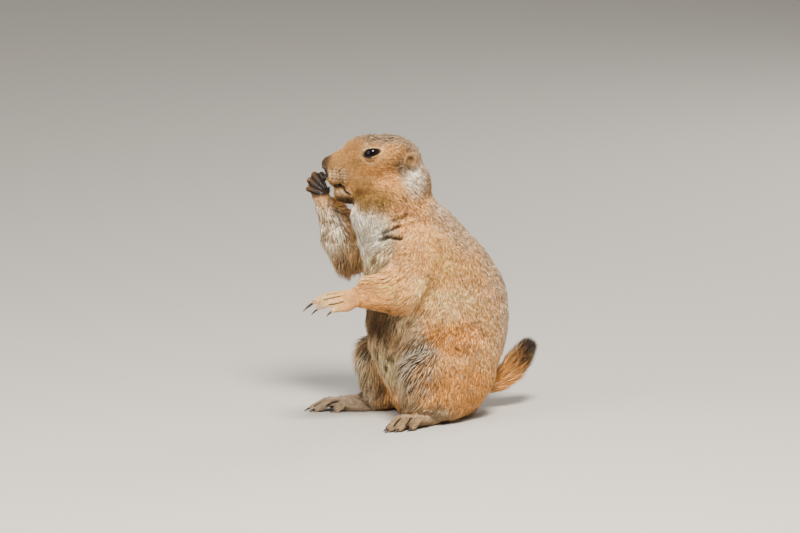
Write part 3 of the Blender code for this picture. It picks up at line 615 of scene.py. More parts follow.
def settle(obj: bpy.types.Object) -> None:
    """Turns the object's modifiers into plain mesh.

    Args:
        obj: The object, whose old mesh is removed.
    """
    graph = bpy.context.evaluated_depsgraph_get()
    graph.update()
    plain = bpy.data.meshes.new_from_object(obj.evaluated_get(graph))
    old = obj.data
    obj.modifiers.clear()
    obj.data = plain
    bpy.data.meshes.remove(old)


def coordinates(mesh: bpy.types.Mesh) -> np.ndarray:
    """The places of a mesh's vertices.

    Args:
        mesh: The mesh.

    Returns:
        Places, one a row.
    """
    points = np.empty(len(mesh.vertices) * 3, np.float32)
    mesh.vertices.foreach_get("co", points)
    return points.reshape(-1, 3).astype(float)


def outward(mesh: bpy.types.Mesh) -> np.ndarray:
    """The normals of a mesh's vertices.

    Args:
        mesh: The mesh.

    Returns:
        Unit headings, one a row.
    """
    normals = np.empty(len(mesh.vertices) * 3, np.float32)
    mesh.vertex_normals.foreach_get("vector", normals)
    return normals.reshape(-1, 3).astype(float)


def triangles(mesh: bpy.types.Mesh) -> np.ndarray:
    """The vertex numbers of a mesh's triangles.

    Args:
        mesh: The mesh.

    Returns:
        Three numbers a row.
    """
    mesh.calc_loop_triangles()
    found = np.empty(len(mesh.loop_triangles) * 3, np.int32)
    mesh.loop_triangles.foreach_get("vertices", found)
    return found.reshape(-1, 3)


def move_to(mesh: bpy.types.Mesh, points: np.ndarray) -> None:
    """Sets the places of a mesh's vertices."""
    mesh.vertices.foreach_set("co", points.astype(np.float32).ravel())
    mesh.update()


def paint(mesh: bpy.types.Mesh, colours: np.ndarray) -> None:
    """Stores a colour on each vertex.

    Args:
        mesh: The mesh.
        colours: Red, green and blue, one vertex a row.
    """
    layer = mesh.color_attributes.new(HAIR, "FLOAT_COLOR", "POINT")
    full = np.column_stack((colours, np.ones(len(colours))))
    layer.data.foreach_set("color", full.astype(np.float32).ravel())


def plain_mesh(clay: bmesh.types.BMesh, name: str) -> bpy.types.Mesh:
    """Turns the clay into a mesh and frees the clay.

    Args:
        clay: The clay, which can't be used again.
        name: The mesh's name.

    Returns:
        The mesh.
    """
    mesh = bpy.data.meshes.new(name)
    clay.to_mesh(mesh)
    clay.free()
    return mesh


def surface_of(mesh: bpy.types.Mesh) -> BVHTree:
    """A search tree over the mesh's triangles."""
    return BVHTree.FromPolygons(coordinates(mesh).tolist(), triangles(mesh).tolist())


def spots_along(path: np.ndarray, marks: np.ndarray, wanted: np.ndarray) -> np.ndarray:
    """The places at the wanted marks of a path whose own points stand at marks."""
    return np.column_stack([np.interp(wanted, marks, path[:, axis]) for axis in range(3)])


def lay_flat(mesh: bpy.types.Mesh, flat: np.ndarray, shape: np.ndarray, corners: np.ndarray) -> None:
    """Gives each tuft its small patch on the unwrap, at its root's place.

    Args:
        mesh: The mesh of all tufts.
        flat: The place of each root on the unwrap.
        shape: The corners of one tuft's patch.
        corners: The vertex number of each corner of the faces.
    """
    spots = (flat[:, None, :] + shape[None] * TUFT_PATCH).reshape(-1, 2)
    layer = mesh.uv_layers.new(name=UNWRAP)
    layer.data.foreach_set("uv", spots[corners].astype(np.float32).ravel())


def merged_copy(clay: bmesh.types.BMesh, node: str, grow: float = 0.0) -> None:
    """Adds a CAD node to the clay, with its doubles merged and its skin pushed out a little.

    Args:
        clay: The clay.
        node: The node's name, whose own mesh is left as it is.
        grow: How far to push, in metres.
    """
    part = bmesh.new()
    part.from_mesh(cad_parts[node].data)
    bmesh.ops.remove_doubles(part, verts=part.verts, dist=1e-6)
    part.normal_update()
    for vertex in part.verts:
        vertex.co += vertex.normal * grow
    mesh = plain_mesh(part, "part")
    clay.from_mesh(mesh)
    bpy.data.meshes.remove(mesh)


def tube(clay: bmesh.types.BMesh, path: np.ndarray, radii: np.ndarray, sides: int = 12) -> None:
    """Adds a closed tapered tube along a path, in metres.

    Args:
        clay: The clay.
        path: The middle line's points.
        radii: A radius for each point.
        sides: How many sides the tube has.
    """
    rings = []
    for index, (point, radius) in enumerate(zip(path, radii)):
        ahead = Vector(path[min(index + 1, len(path) - 1)] - path[max(index - 1, 0)])
        turn = ahead.to_track_quat("Z", "Y")
        angles = [2 * math.pi * step / sides for step in range(sides)]
        spots = [turn @ Vector((math.cos(angle), math.sin(angle), 0)) * radius for angle in angles]
        rings.append([clay.verts.new(Vector(point) + spot) for spot in spots])
    for lower, upper in zip(rings, rings[1:]):
        for step in range(sides):
            after = (step + 1) % sides
            clay.faces.new((lower[step], lower[after], upper[after], upper[step]))
    clay.faces.new(rings[0][::-1])
    clay.faces.new(rings[-1])


def distance_to(points: np.ndarray, path: np.ndarray, reach: float = 9.0) -> np.ndarray:
    """The distance from each place to a line through the points of a path.

    Args:
        points: Places, in millimetres.
        path: The line's points, in the same frame.
        reach: How far from the line distances are still worked out.

    Returns:
        A distance for each place, without end where it is out of reach.
    """
    nearest = np.full(len(points), np.inf)
    inside = np.all((points > path.min(axis=0) - reach) & (points < path.max(axis=0) + reach), axis=1)
    near = points[inside]
    found = np.full(len(near), np.inf)
    for start, end in zip(path, path[1:]):
        along = end - start
        share = np.clip((near - start) @ along / max(along @ along, 1e-9), 0, 1)
        found = np.minimum(found, np.linalg.norm(near - start - share[:, None] * along, axis=1))
    nearest[inside] = found
    return nearest


@dataclass(frozen=True)
class Crease:
    """A line that is sunk into the skin, how wide it is, how dark the painted shade along it is, and how
    wide a strip stays bare.
    """

    path: tuple[Triple, ...]
    depth: float
    width: float
    shade: float
    bare: float = 0.0
    space: Space = Space.BODY
    paired: bool = False


# Mouth, nostrils, the line below the nose, throat folds and the slits between the fingers; each darkens the
# skin and hair along it as painted shade.
CREASES = (
    Crease(
        ((0, -50.0, -13.5), (4, -48.5, -14.0), (8, -43.5, -15.0), (10.5, -37.5, -16.2), (11.5, -33.0, -18.0),
         (12.0, -29.0, -22.5)),
        1.4, 0.7, 0.9, 0.6, Space.HEAD, True,
    ),
    Crease(
        ((2.0, -51.0, -5.2), (4.4, -48.8, -4.4), (6.0, -46.4, -5.8), (6.0, -45.4, -8.4)),
        1.8, 0.9, 0.97, 1.2, Space.HEAD, True,
    ),
    Crease(((0, -51.5, -6.5), (0, -50.0, -13.0)), 0.7, 0.6, 0.6, 0.0, Space.HEAD),
    Crease(((27, -54, 164.5), (29, -49, 166), (31, -43.5, 168.5)), 2.4, 1.2, 0.95, paired=True),
    Crease(((23, -61, 154), (27, -55, 157.5), (29, -50, 160)), 2.4, 1.5, 0.95, paired=True),
    Crease(((21, -64, 147), (26, -57, 151), (31, -48, 149.5)), 2.8, 1.7, 0.97, paired=True),
    Crease(((39.5, -107, 111), (37.8, -119, 111)), 0.9, 0.45, 0.7, 0.2),
    Crease(((41.4, -107, 109), (41.6, -121, 108)), 0.9, 0.45, 0.7, 0.2),
    Crease(((45.5, -106, 106), (46.4, -118, 104)), 0.9, 0.45, 0.7, 0.2),
    Crease(((-34.2, -91.7, 195.8), (-31.7, -89.0, 189.1)), 1.3, 0.7, 0.85, 0.8),
    Crease(((-36.0, -96.8, 193.1), (-32.4, -91.5, 186.8)), 1.3, 0.7, 0.85, 0.8),
    Crease(((-36.1, -99.6, 186.8), (-32.1, -92.5, 183.1)), 1.3, 0.7, 0.85, 0.8),
    Crease(((-34.1, -98.0, 180.0), (-31.2, -92.1, 179.1)), 1.0, 0.7, 0.85, 0.8),
)


@dataclass
class Creases:
    """All creases, drawn onto the skin."""

    anatomy: Anatomy
    creases: tuple[Crease, ...] = CREASES
    steps: int = 4
    toe_reach: tuple[tuple[float, float], ...] = ((3.0, 3.0), (7.0, 6.0), (12.0, 8.0))
    drawn: list[tuple[Crease, np.ndarray]] = field(default_factory=list)

    def toe_slits(self) -> list[Crease]:
        """The slits between the toes, which run back from between each two claws.

        Returns:
            Four slits for each foot.
        """
        made = []
        for side in Side:
            foot = np.array(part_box(f"foot_{side.label}")) / MM
            nodes = [f"claw_toe_{toe}_{side.label}" for toe in range(1, 6)]
            claws = [np.array(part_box(node)).mean(axis=0) / MM for node in nodes]
            heading = unit(foot.mean(axis=0) - np.mean(claws, axis=0)) * (1, 1, 0)
            for first, second in zip(claws, claws[1:]):
                middle = (first + second) / 2 - np.array(self.anatomy.shift)
                path = [middle + heading * reach + (0, 0, rise) for reach, rise in self.toe_reach]
                # Each slit darkens the toes along it as painted shade.
                made.append(Crease(tuple(map(tuple, path)), 1.2, 0.6, 0.8, 0.4))
        return made

    def draw_on(self, skin: bpy.types.Object) -> None:
        """Lays each line onto the skin and sinks it by half its depth.

        Args:
            skin: The skin's object.
        """
        surface = surface_of(skin.data)
        shift = np.array(self.anatomy.shift)
        for crease in (*self.creases, *self.toe_slits()):
            for sign in (1, -1) if crease.paired else (1,):
                ends = np.array(crease.path) * (sign, 1, 1)
                marks = np.linspace(0, len(ends) - 1, (len(ends) - 1) * self.steps + 1)
                line = spots_along(ends, np.arange(len(ends)), marks)
                spots = []
                for spot in self.anatomy.row(line, crease.space):
                    place, normal, _, _ = surface.find_nearest(Vector(spot))
                    spots.append(np.array(place) / MM - np.array(normal) * crease.depth / 2 - shift)
                self.drawn.append((crease, np.array(spots)))

    def push(self, body: np.ndarray) -> np.ndarray:
        """How far each place of the skin moves, in millimetres: less than nothing in a crease.

        Args:
            body: Places, in millimetres of the body.

        Returns:
            One distance for each place.
        """
        moved = np.zeros(len(body))
        for crease, line in self.drawn:
            reach = crease.width + crease.depth / 4
            moved -= crease.depth * np.exp(-((distance_to(body, line) / reach) ** 2))
        return moved

    def shade(self, body: np.ndarray) -> np.ndarray:
        """How much painted shade each place gets from the creases near it, from 0 to 1.

        Args:
            body: Places, in millimetres of the body.

        Returns:
            One share for each place.
        """
        dark = np.zeros(len(body))
        for crease, line in self.drawn:
            far = distance_to(body, line) / (crease.width + crease.depth / 3)
            dark = np.maximum(dark, crease.shade * np.exp(-(far**3)))
        return dark

    def bare(self, body: np.ndarray) -> np.ndarray:
        """How bare each place is for the creases near it, from 0 to 1.

        Args:
            body: Places, in millimetres of the body.

        Returns:
            One share for each place.
        """
        bald = np.zeros(len(body))
        for crease, line in self.drawn:
            if crease.bare:
                inside = crease.bare + crease.depth / 2 - distance_to(body, line)
                bald = np.maximum(bald, smooth_step(inside / 0.5))
        return bald


@dataclass
class Opening:
    """The almond-shaped opening between the lids of one eye, in the frame of the head."""

    side: Side
    centre: Triple = EYE_CENTRE
    ball: float = 7.2
    look: Triple = (0.93, -0.25, 0.24)
    slant: float = 15.0
    half_length: float = 7.0
    half_height: float = 3.1
    corners: tuple[float, float] = (2.8, 1.0)

    def axes(self) -> tuple[np.ndarray, np.ndarray, np.ndarray, np.ndarray]:
        """The eye's middle and its three headings: out, to the back and up.

        Returns:
            Four arrays, in the frame of the head.
        """
        flip = np.array((self.side.value, 1, 1))
        look = unit(np.array(self.look) * flip)
        slant = math.radians(self.slant)
        back = np.array((0, math.cos(slant), math.sin(slant)))
        back = unit(back - look * (back @ look))
        return np.array(self.centre) * flip, look, back, np.cross(look, back) * self.side.value

    def reach(self, head: np.ndarray) -> tuple[np.ndarray, np.ndarray]:
        """How far places are from the opening.

        Args:
            head: Places, in millimetres of the head.

        Returns:
            The distance as a share of the opening's size, 1 on its rim, and the angle round it.
        """
        centre, look, back, high = self.axes()
        offset = head - centre
        along, up = offset @ back, offset @ high
        rise = np.abs(up) / self.half_height
        front, behind = self.corners
        power = 2 / np.where(along < 0, front, behind)
        share = (np.abs(along / self.half_length) ** 2 + rise**power) ** 0.5
        share = np.where(offset @ look > 1.0, share, 9.0)
        return share, np.arctan2(up, along)


@dataclass
class Skin:
    """One skin over all the flesh, a coat's depth inside the solids, with the face carved into it."""

    anatomy: Anatomy
    creases: Creases
    flesh: tuple[str, ...] = field(
        default_factory=lambda: tuple(
            name for name in sorted(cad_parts) if not name.startswith(("claw", "eye", "tail"))
        )
    )
    grow: float = 0.25
    grain: float = 0.8
    softening: int = 5
    broad_softening: int = 90
    kept: float = 0.42
    depth_of_length: float = 0.2
    tail_path: tuple[Triple, ...] = ((0, 28, 14), (0, 44, 18.5), (0.4, 57, 26), (1, 66, 35), (1.6, 73, 43.5))
    tail_radii: tuple[float, ...] = (4.6, 4.2, 3.6, 2.8, 1.4)
    crown_fill: Patch = Patch((0, -7, 25), (18, 8, 7), 1.0, edge=1.4, share=1.3, **HEAD)
    ear_middle: tuple[float, float] = (21.4, 7.8)
    ear_radii: tuple[float, float] = (6.0, 6.3)
    ear_hollow: tuple[float, float] = (20.2, 6.4)
    ear_hollow_radii: tuple[float, float] = (4.0, 5.2)
    behind_ball: float = 0.6
    pit: float = 1.6
    lid_thickness: float = 0.45
    lid_reach: float = 1.6

    def build(self) -> bpy.types.Object:
        """Makes the skin from the solids.

        Returns:
            The carved skin.
        """
        clay = bmesh.new()
        for node in self.flesh:
            merged_copy(clay, node, self.grow * MM)
        for side in Side:
            opening = Opening(side)
            ball = self.anatomy.row(opening.axes()[0], Space.HEAD)[0]
            made = bmesh.ops.create_icosphere(clay, subdivisions=3, radius=(opening.ball + 0.5) * MM)
            bmesh.ops.translate(clay, vec=Vector(ball), verts=made["verts"])
        tube(clay, self.anatomy.row(np.array(self.tail_path)), np.array(self.tail_radii) * MM)
        bmesh.ops.recalc_face_normals(clay, faces=clay.faces)
        skin = new_object("skin", plain_mesh(clay, "skin"))
        remesh = skin.modifiers.new("Remesh", "REMESH")
        remesh.mode = "VOXEL"
        remesh.voxel_size = self.grain * MM
        settle(skin)
        self.soften(skin)
        self.sink(skin)
        self.refine(skin)
        self.creases.draw_on(skin)
        self.carve(skin)
        return skin

    def broad(self, seen: Seen) -> np.ndarray:
        """Where the skin has no fine detail: 1 on the trunk and limbs, 0 on the face, paws and feet."""
        return BROAD.number(seen)

    def soften(self, skin: bpy.types.Object) -> None:
        """Softens the facets of the solids, most where the body is broad, and thins the skin there.

        Args:
            skin: The skin's object, which is changed.
        """
        group = skin.vertex_groups.new(name="broad")
        weights = self.broad(self.anatomy.seen(coordinates(skin.data)))
        for level in range(1, 11):
            chosen = np.nonzero(np.round(weights * 10).astype(int) == level)[0]
            if len(chosen):
                group.add(chosen.tolist(), level / 10, "REPLACE")
        for passes, name in ((self.softening, ""), (self.broad_softening, "broad")):
            smooth = skin.modifiers.new("Smooth", "SMOOTH")
            smooth.factor = 0.5
            smooth.iterations = passes
            smooth.vertex_group = name
        thin = skin.modifiers.new("Thin", "DECIMATE")
        thin.ratio = self.kept
        thin.vertex_group = "broad"
        thin.vertex_group_factor = 10.0
        settle(skin)

    def sink(self, skin: bpy.types.Object) -> None:
        """Moves the skin in by the depth of the coat.

        Args:
            skin: The skin's object, which is changed.
        """
        points, normals = coordinates(skin.data), outward(skin.data)
        seen = self.anatomy.seen(points)
        depth = LENGTH.number(seen) * self.depth_of_length + self.grow
        depth = depth * (1 - TAIL_CORE.weight(seen))
        move_to(skin.data, points - normals * (depth * MM)[:, None])

    def refine(self, skin: bpy.types.Object) -> None:
        """Splits the faces round the eyes, nose and mouth.

        Args:
            skin: The skin's object, which is changed.
        """
        shape = bmesh.new()
        shape.from_mesh(skin.data)
        shape.verts.ensure_lookup_table()
        head = self.anatomy.seen(coordinates(skin.data))[Space.HEAD]
        near = np.zeros(len(head), bool)
        for side in Side:
            near |= np.linalg.norm(head - Opening(side).axes()[0], axis=1) < 12.0
        near |= np.linalg.norm(head - (0, -48, -5), axis=1) < 12.0
        chosen = [edge for edge in shape.edges if near[edge.verts[0].index] and near[edge.verts[1].index]]
        bmesh.ops.subdivide_edges(shape, edges=chosen, cuts=1, use_grid_fill=True, smooth=0.2)
        bmesh.ops.triangulate(shape, faces=shape.faces)
        shape.to_mesh(skin.data)
        shape.free()

    def carve(self, skin: bpy.types.Object) -> None:
        """Carves the lids, nostrils, mouth and throat folds into the skin.

        Args:
            skin: The skin's object, which is changed.
        """
        points, normals = coordinates(skin.data), outward(skin.data)
        seen = self.anatomy.seen(points)
        head, body = seen[Space.HEAD], seen[Space.BODY]
        push = self.creases.push(body) + self.crown_fill.weight(seen)
        for side in Side:
            push += self.ear_relief(head * (side.value, 1, 1))
        points = points + normals * (push * MM)[:, None]
        for side in Side:
            opening = Opening(side)
            share, _ = opening.reach(head)
            centre = self.anatomy.row(opening.axes()[0], Space.HEAD)[0]
            out = unit(points - centre)
            inner = opening.ball - self.behind_ball - self.pit * np.clip(1 - share, 0, 1)
            rim = opening.ball + self.lid_thickness
            lid = smooth_step((self.lid_reach - share) / 0.5)
            target = np.where(share < 1.0, inner, rim)
            blend = np.where(share < 1.0, 1.0, lid)
            current = np.linalg.norm(points - centre, axis=1) / MM
            radius = current + (target - current) * blend
            lids = centre + out * (radius * MM)[:, None]
            points = np.where((share < self.lid_reach)[:, None], lids, points)
        move_to(skin.data, points)

    def ear_relief(self, head: np.ndarray) -> np.ndarray:
        """How far the skin of one ear stands out: a raised rim round a hollow.

        Args:
            head: Places, in the frame of the head.

        Returns:
            A distance for each place, in millimetres.
        """
        ring = np.linalg.norm((head[:, 1:] - self.ear_middle) / self.ear_radii, axis=1)
        outer = smooth_step((head[:, 0] - 17.5) / 2.0)
        hollow = np.linalg.norm((head[:, 1:] - self.ear_hollow) / self.ear_hollow_radii, axis=1)
        return outer * (0.2 * np.exp(-(((ring - 0.95) / 0.22) ** 2)) - 1.6 * smooth_step((1 - hollow) / 0.6))


def new_node(tree: bpy.types.NodeTree, kind: str, **values: object) -> bpy.types.Node:
    """Adds a node and sets its inputs, named with _ for each space.

    Args:
        tree: The tree it joins.
        kind: The node's type.
        values: A value for each named input.

    Returns:
        The node.
    """
    made = tree.nodes.new(kind)
    for name, value in values.items():
        made.inputs[name.replace("_", " ")].default_value = value
    return made


def blank_material(name: str, **values: object) -> tuple[bpy.types.Material, bpy.types.Node]:
    """Makes a material with plain values on its shader.

    Args:
        name: The material's name.
        values: Values for the shader's own sockets, named with _ for each space.

    Returns:
        The material and its shader.
    """
    made = bpy.data.materials.new(name)
    made.use_nodes = True
    shader = made.node_tree.nodes["Principled BSDF"]
    for socket, value in values.items():
        shader.inputs[socket.replace("_", " ")].default_value = value
    return made, shader


@dataclass(frozen=True)
class Finish:
    """A surface whose colour comes from the animal's markings."""

    name: str
    roughness: float
    bump: float
    bump_scale: float
    mottle: float = 0.12
    specular: float = 0.3
    sheen: float = 0.0
    bump_depth: float = 0.0004

    def material(self) -> bpy.types.Material:
        """Builds the finish once, and finds it again afterwards.

        Returns:
            The material.
        """
        found = bpy.data.materials.get(self.name)
        if found:
            return found
        values = {"Specular_IOR_Level": self.specular, "Sheen_Weight": self.sheen}
        made, shader = blank_material(self.name, Roughness=self.roughness, **values)
        tree, links = made.node_tree, made.node_tree.links
        hair = new_node(tree, "ShaderNodeAttribute")
        hair.attribute_name = HAIR
        place = new_node(tree, "ShaderNodeTexCoord")
        grain = new_node(tree, "ShaderNodeTexNoise", Scale=self.bump_scale, Detail=4.0)
        links.new(place.outputs["Object"], grain.inputs["Vector"])
        shade = new_node(tree, "ShaderNodeMapRange", To_Min=1.0 - self.mottle, To_Max=1.0 + self.mottle)
        links.new(grain.outputs["Fac"], shade.inputs["Value"])
        tint = new_node(tree, "ShaderNodeVectorMath")
        tint.operation = "SCALE"
        links.new(hair.outputs["Color"], tint.inputs[0])
        links.new(shade.outputs["Result"], tint.inputs["Scale"])
        links.new(tint.outputs["Vector"], shader.inputs["Base Color"])
        if self.bump:
            relief = new_node(tree, "ShaderNodeBump", Strength=self.bump, Distance=self.bump_depth)
            links.new(grain.outputs["Fac"], relief.inputs["Height"])
            links.new(relief.outputs["Normal"], shader.inputs["Normal"])
        return made


UNDERFUR = Finish("underfur", 0.9, 0.8, 900.0, 0.25)
NOSE_LEATHER = Finish("nose_leather", 0.42, 0.9, 1500.0, 0.2, specular=0.5)
COAT_BUFF = Finish("coat_buff", 0.62, 0.0, 260.0, 0.10, specular=0.25)
COAT_CREAM = Finish("coat_cream", 0.62, 0.0, 260.0, 0.10, specular=0.25)
COAT_TAIL = Finish("coat_tail", 0.6, 0.0, 260.0, 0.10, specular=0.25)
HORN = Finish("claw_horn", 0.34, 0.35, 700.0, 0.35, specular=0.5)
BRISTLE = Finish("whisker_bristle", 0.45, 0.0, 400.0, 0.2)


@dataclass(frozen=True)
class EyeFinish:
    """A dark wet eye: black pupil and deep brown iris, glossy."""

    name: str = "eye_glass"
    pupil: float = 0.42
    soft_edge: float = 0.08
    roughness: float = 0.06
    specular: float = 0.14
    iris: Triple = (0.008, 0.004, 0.002)
    black: Triple = (0.002, 0.002, 0.002)

    def material(self) -> bpy.types.Material:
        """Builds the finish once, and finds it again afterwards.

        Returns:
            The material.
        """
        found = bpy.data.materials.get(self.name)
        if found:
            return found
        made, shader = blank_material(self.name, Roughness=self.roughness, Specular_IOR_Level=self.specular)
        tree, links = made.node_tree, made.node_tree.links
        ring = new_node(tree, "ShaderNodeAttribute")
        ring.attribute_name = HAIR
        ramp = new_node(tree, "ShaderNodeValToRGB")
        stops = ((self.pupil, self.black), (self.pupil + self.soft_edge, self.iris))
        for stop, (place, colour) in zip(ramp.color_ramp.elements, stops):
            stop.position = place
            stop.color = (*colour, 1.0)
        links.new(ring.outputs["Fac"], ramp.inputs["Fac"])
        links.new(ramp.outputs["Color"], shader.inputs["Base Color"])
        return made


def dress(obj: bpy.types.Object, finish: Finish | EyeFinish, slot: Slot, *nodes: str) -> bpy.types.Object:
    """Gives a piece its finish, lets it ride on the body and stand for its CAD nodes.

    Args:
        obj: The piece.
        finish: Its finish.
        slot: Its slot in the record; not used.
        nodes: The CAD nodes that it stands for, if any.

    Returns:
        The same piece.
    """
    obj.data.materials.clear()
    obj.data.materials.append(finish.material())
    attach(obj, "root")
    if nodes:
        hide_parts(*nodes)
    count = len(triangles(obj.data))
    LOG.info("%s: %d triangles", obj.name, count)
    return obj


@dataclass
class Bare:
    """Where no hair grows: nose, lids, mouth, pads and soles."""

    creases: Creases

    def at(self, seen: Seen, normals: np.ndarray) -> np.ndarray:
        """How bare each place is, from 0 to 1.

        Args:
            seen: Places, in both frames.
            normals: The way out of the skin at each place.

        Returns:
            One share for each place.
        """
        head, body = seen[Space.HEAD], seen[Space.BODY]
        bare = NOSE_PAD.weight(seen)
        for side in Side:
            share, _ = Opening(side).reach(head)
            bare = np.maximum(bare, smooth_step((1.22 - share) / 0.14))
        bare = np.maximum(bare, self.creases.bare(body))
        bare = np.maximum(bare, smooth_step((1.5 - body[:, 2]) / 0.8))
        return np.maximum(bare, BARE_PALM.weight(seen) * (normals[:, 0] > 0.2))


@dataclass
class Dye:
    """The colours of the skin and of the hair, which both follow the same markings and carry painted shade
    in the creases.
    """

    anatomy: Anatomy
    creases: Creases
    wander: float = 2.4
    # How dark the underfur is against the hair above it: painted shade under the coat.
    depth: float = 0.6
    lid_light: float = 0.25

    def hair(self, seen: Seen) -> np.ndarray:
        """The colour of the hair at each place, with edges that wander a little.

        Args:
            seen: Places, in both frames.

        Returns:
            A colour for each place.
        """
        body = seen[Space.BODY]
        drift = np.column_stack([noise(body, 6.0, seed) for seed in (3, 4, 5)]) * self.wander
        fine = 0.25 * np.clip(body[:, 2:] / 40, 0.2, 1)
        moved = body + drift * np.where(seen[Space.HEAD][:, 1:2] < -20, fine, 1.0)
        turned = self.anatomy.seen(self.anatomy.row(moved))
        colour = MARKINGS.at(turned)
        for side in Side:
            share, _ = Opening(side).reach(seen[Space.HEAD])
            ring = self.lid_light * np.exp(-(((share - 1.4) / 0.14) ** 2))[:, None]
            colour += (np.array(Tone.CREAM.value) - colour) * ring
        return colour * (1.0 + 0.10 * noise(body, 11.0, 9))[:, None]

    def shadow(self, seen: Seen) -> np.ndarray:
        """How much darker the hair is: painted shade in the creases of the mouth, nose, throat, fingers and
        toes, and the whisker spots' own dark colour.

        Args:
            seen: Places, in both frames.

        Returns:
            One share for each place.
        """
        head = seen[Space.HEAD]
        dark = self.creases.shade(seen[Space.BODY])
        for side in Side:
            for row, column in product(range(4), range(5)):
                spot = np.array((side.value * 10.0, -42.0 + 2.9 * column, -2.2 - 2.3 * row - 0.35 * column))
                apart = np.linalg.norm((head - spot) / (6.0, 0.95, 0.75), axis=1)
                dark = np.maximum(dark, 0.8 * np.exp(-(apart**2)))
        return dark

    def skin(self, seen: Seen, bare: np.ndarray) -> np.ndarray:
        """The colour of the skin: underfur, darkened as painted shade under the coat, or naked skin where no
        hair grows, with the painted shade of the creases and the whisker spots.

        Args:
            seen: Places, in both frames.
            bare: How bare each place is.

        Returns:
            A colour for each place.
        """
        head = seen[Space.HEAD]
        colour = self.hair(seen) * self.depth
        naked = np.repeat(np.array(Tone.PAD.value)[None, :], len(head), axis=0)
        nose = NOSE_DYE.weight(seen)[:, None]
        naked += (np.array(Tone.LEATHER.value) - naked) * nose
        for side in Side:
            share, _ = Opening(side).reach(head)
            lid = smooth_step((1.3 - share) / 0.2)[:, None]
            naked += (np.array(Tone.SOOT.value) - naked) * lid
        colour += (naked - colour) * bare[:, None]
        return colour * (1.0 - self.shadow(seen))[:, None]


@dataclass
class Unwrap:
    """Flat places for the roots of one coat piece, from a coarse copy of its own part of the skin."""

    points: np.ndarray
    faces: np.ndarray
    angle: float = 60.0

    def places(self, roots: np.ndarray) -> np.ndarray:
        """The place of each root on the unwrap.

        Args:
            roots: Places on the skin, in metres.

        Returns:
            Two numbers for each root.
        """
        mesh = mesh_of("unwrap", self.points, self.faces)
        sheet = new_object("unwrap", mesh)
        bpy.context.view_layer.objects.active = sheet
        sheet.select_set(True)
        mesh.uv_layers.new(name=UNWRAP)
        bpy.ops.object.mode_set(mode="EDIT")
        bpy.ops.mesh.select_all(action="SELECT")
        bpy.ops.uv.smart_project(angle_limit=math.radians(self.angle), island_margin=0.004)
        bpy.ops.object.mode_set(mode="OBJECT")
        flat = np.empty(len(mesh.loops) * 2, np.float32)
        mesh.uv_layers[UNWRAP].data.foreach_get("uv", flat)
        corners = flat.reshape(-1, 3, 2)
        tree = BVHTree.FromPolygons(self.points.tolist(), self.faces.tolist())
        found = [tree.find_nearest(root) for root in roots.tolist()]
        index = np.array([hit[2] for hit in found])
        spot = np.array([hit[0][:] for hit in found])
        a, b, c = (self.points[self.faces[index, k]] for k in range(3))
        area = np.cross(b - a, c - a)
        scale = np.maximum(np.sum(area * area, axis=1), 1e-18)
        second = np.sum(np.cross(spot - a, c - a) * area, axis=1) / scale
        third = np.sum(np.cross(b - a, spot - a) * area, axis=1) / scale
        weights = np.column_stack((1 - second - third, second, third))
        bpy.data.objects.remove(sheet)
        bpy.data.meshes.remove(mesh)
        return np.einsum("nk,nkd->nd", weights, corners[index])


PIECES: dict[str, tuple[Triple, Slot]] = {
    "coat_face": ((-22, -84, 200), Slot.BUFF),
    "coat_crown": ((-2, -34, 222), Slot.BUFF),
    "coat_cheek_left": ((22, -55, 192), Slot.BUFF),
    "coat_cheek_right": ((-34, -48, 192), Slot.BUFF),
    "coat_nape": ((0, -6, 178), Slot.BUFF),
    "coat_chest": ((0, -62, 140), Slot.BUFF),
    "coat_arm_left": ((46, -64, 108), Slot.BUFF),
    "coat_arm_right": ((-40, -70, 144), Slot.BUFF),
    "coat_hand_left": ((40, -112, 106), Slot.CREAM),
    "coat_hand_right": ((-31, -96, 186), Slot.CREAM),
    "coat_shoulders": ((0, 26, 140), Slot.BUFF),
    "coat_flank_left": ((48, -8, 100), Slot.BUFF),
    "coat_flank_right": ((-48, -8, 100), Slot.BUFF),
    "coat_back": ((0, 56, 90), Slot.BUFF),
    "coat_belly": ((0, -56, 70), Slot.BUFF),
    "coat_rump": ((0, 42, 28), Slot.BUFF),
    "coat_haunch_left": ((54, 4, 44), Slot.BUFF),
    "coat_haunch_right": ((-54, 4, 44), Slot.BUFF),
    "coat_knee_left": ((42, -50, 36), Slot.CREAM),
    "coat_knee_right": ((-42, -50, 36), Slot.CREAM),
    "coat_foot_left": ((50, -60, 4), Slot.CREAM),
    "coat_foot_right": ((-46, -84, 4), Slot.CREAM),
}


@dataclass
class Roots:
    """Places on the skin where tufts grow, with what each tuft needs to know."""

    points: np.ndarray
    normals: np.ndarray
    seen: Seen

    def chosen(self, mask: np.ndarray) -> "Roots":
        """Only the roots that the mask keeps."""
        seen = {key: part[mask] for key, part in self.seen.items()}
        return Roots(self.points[mask], self.normals[mask], seen)


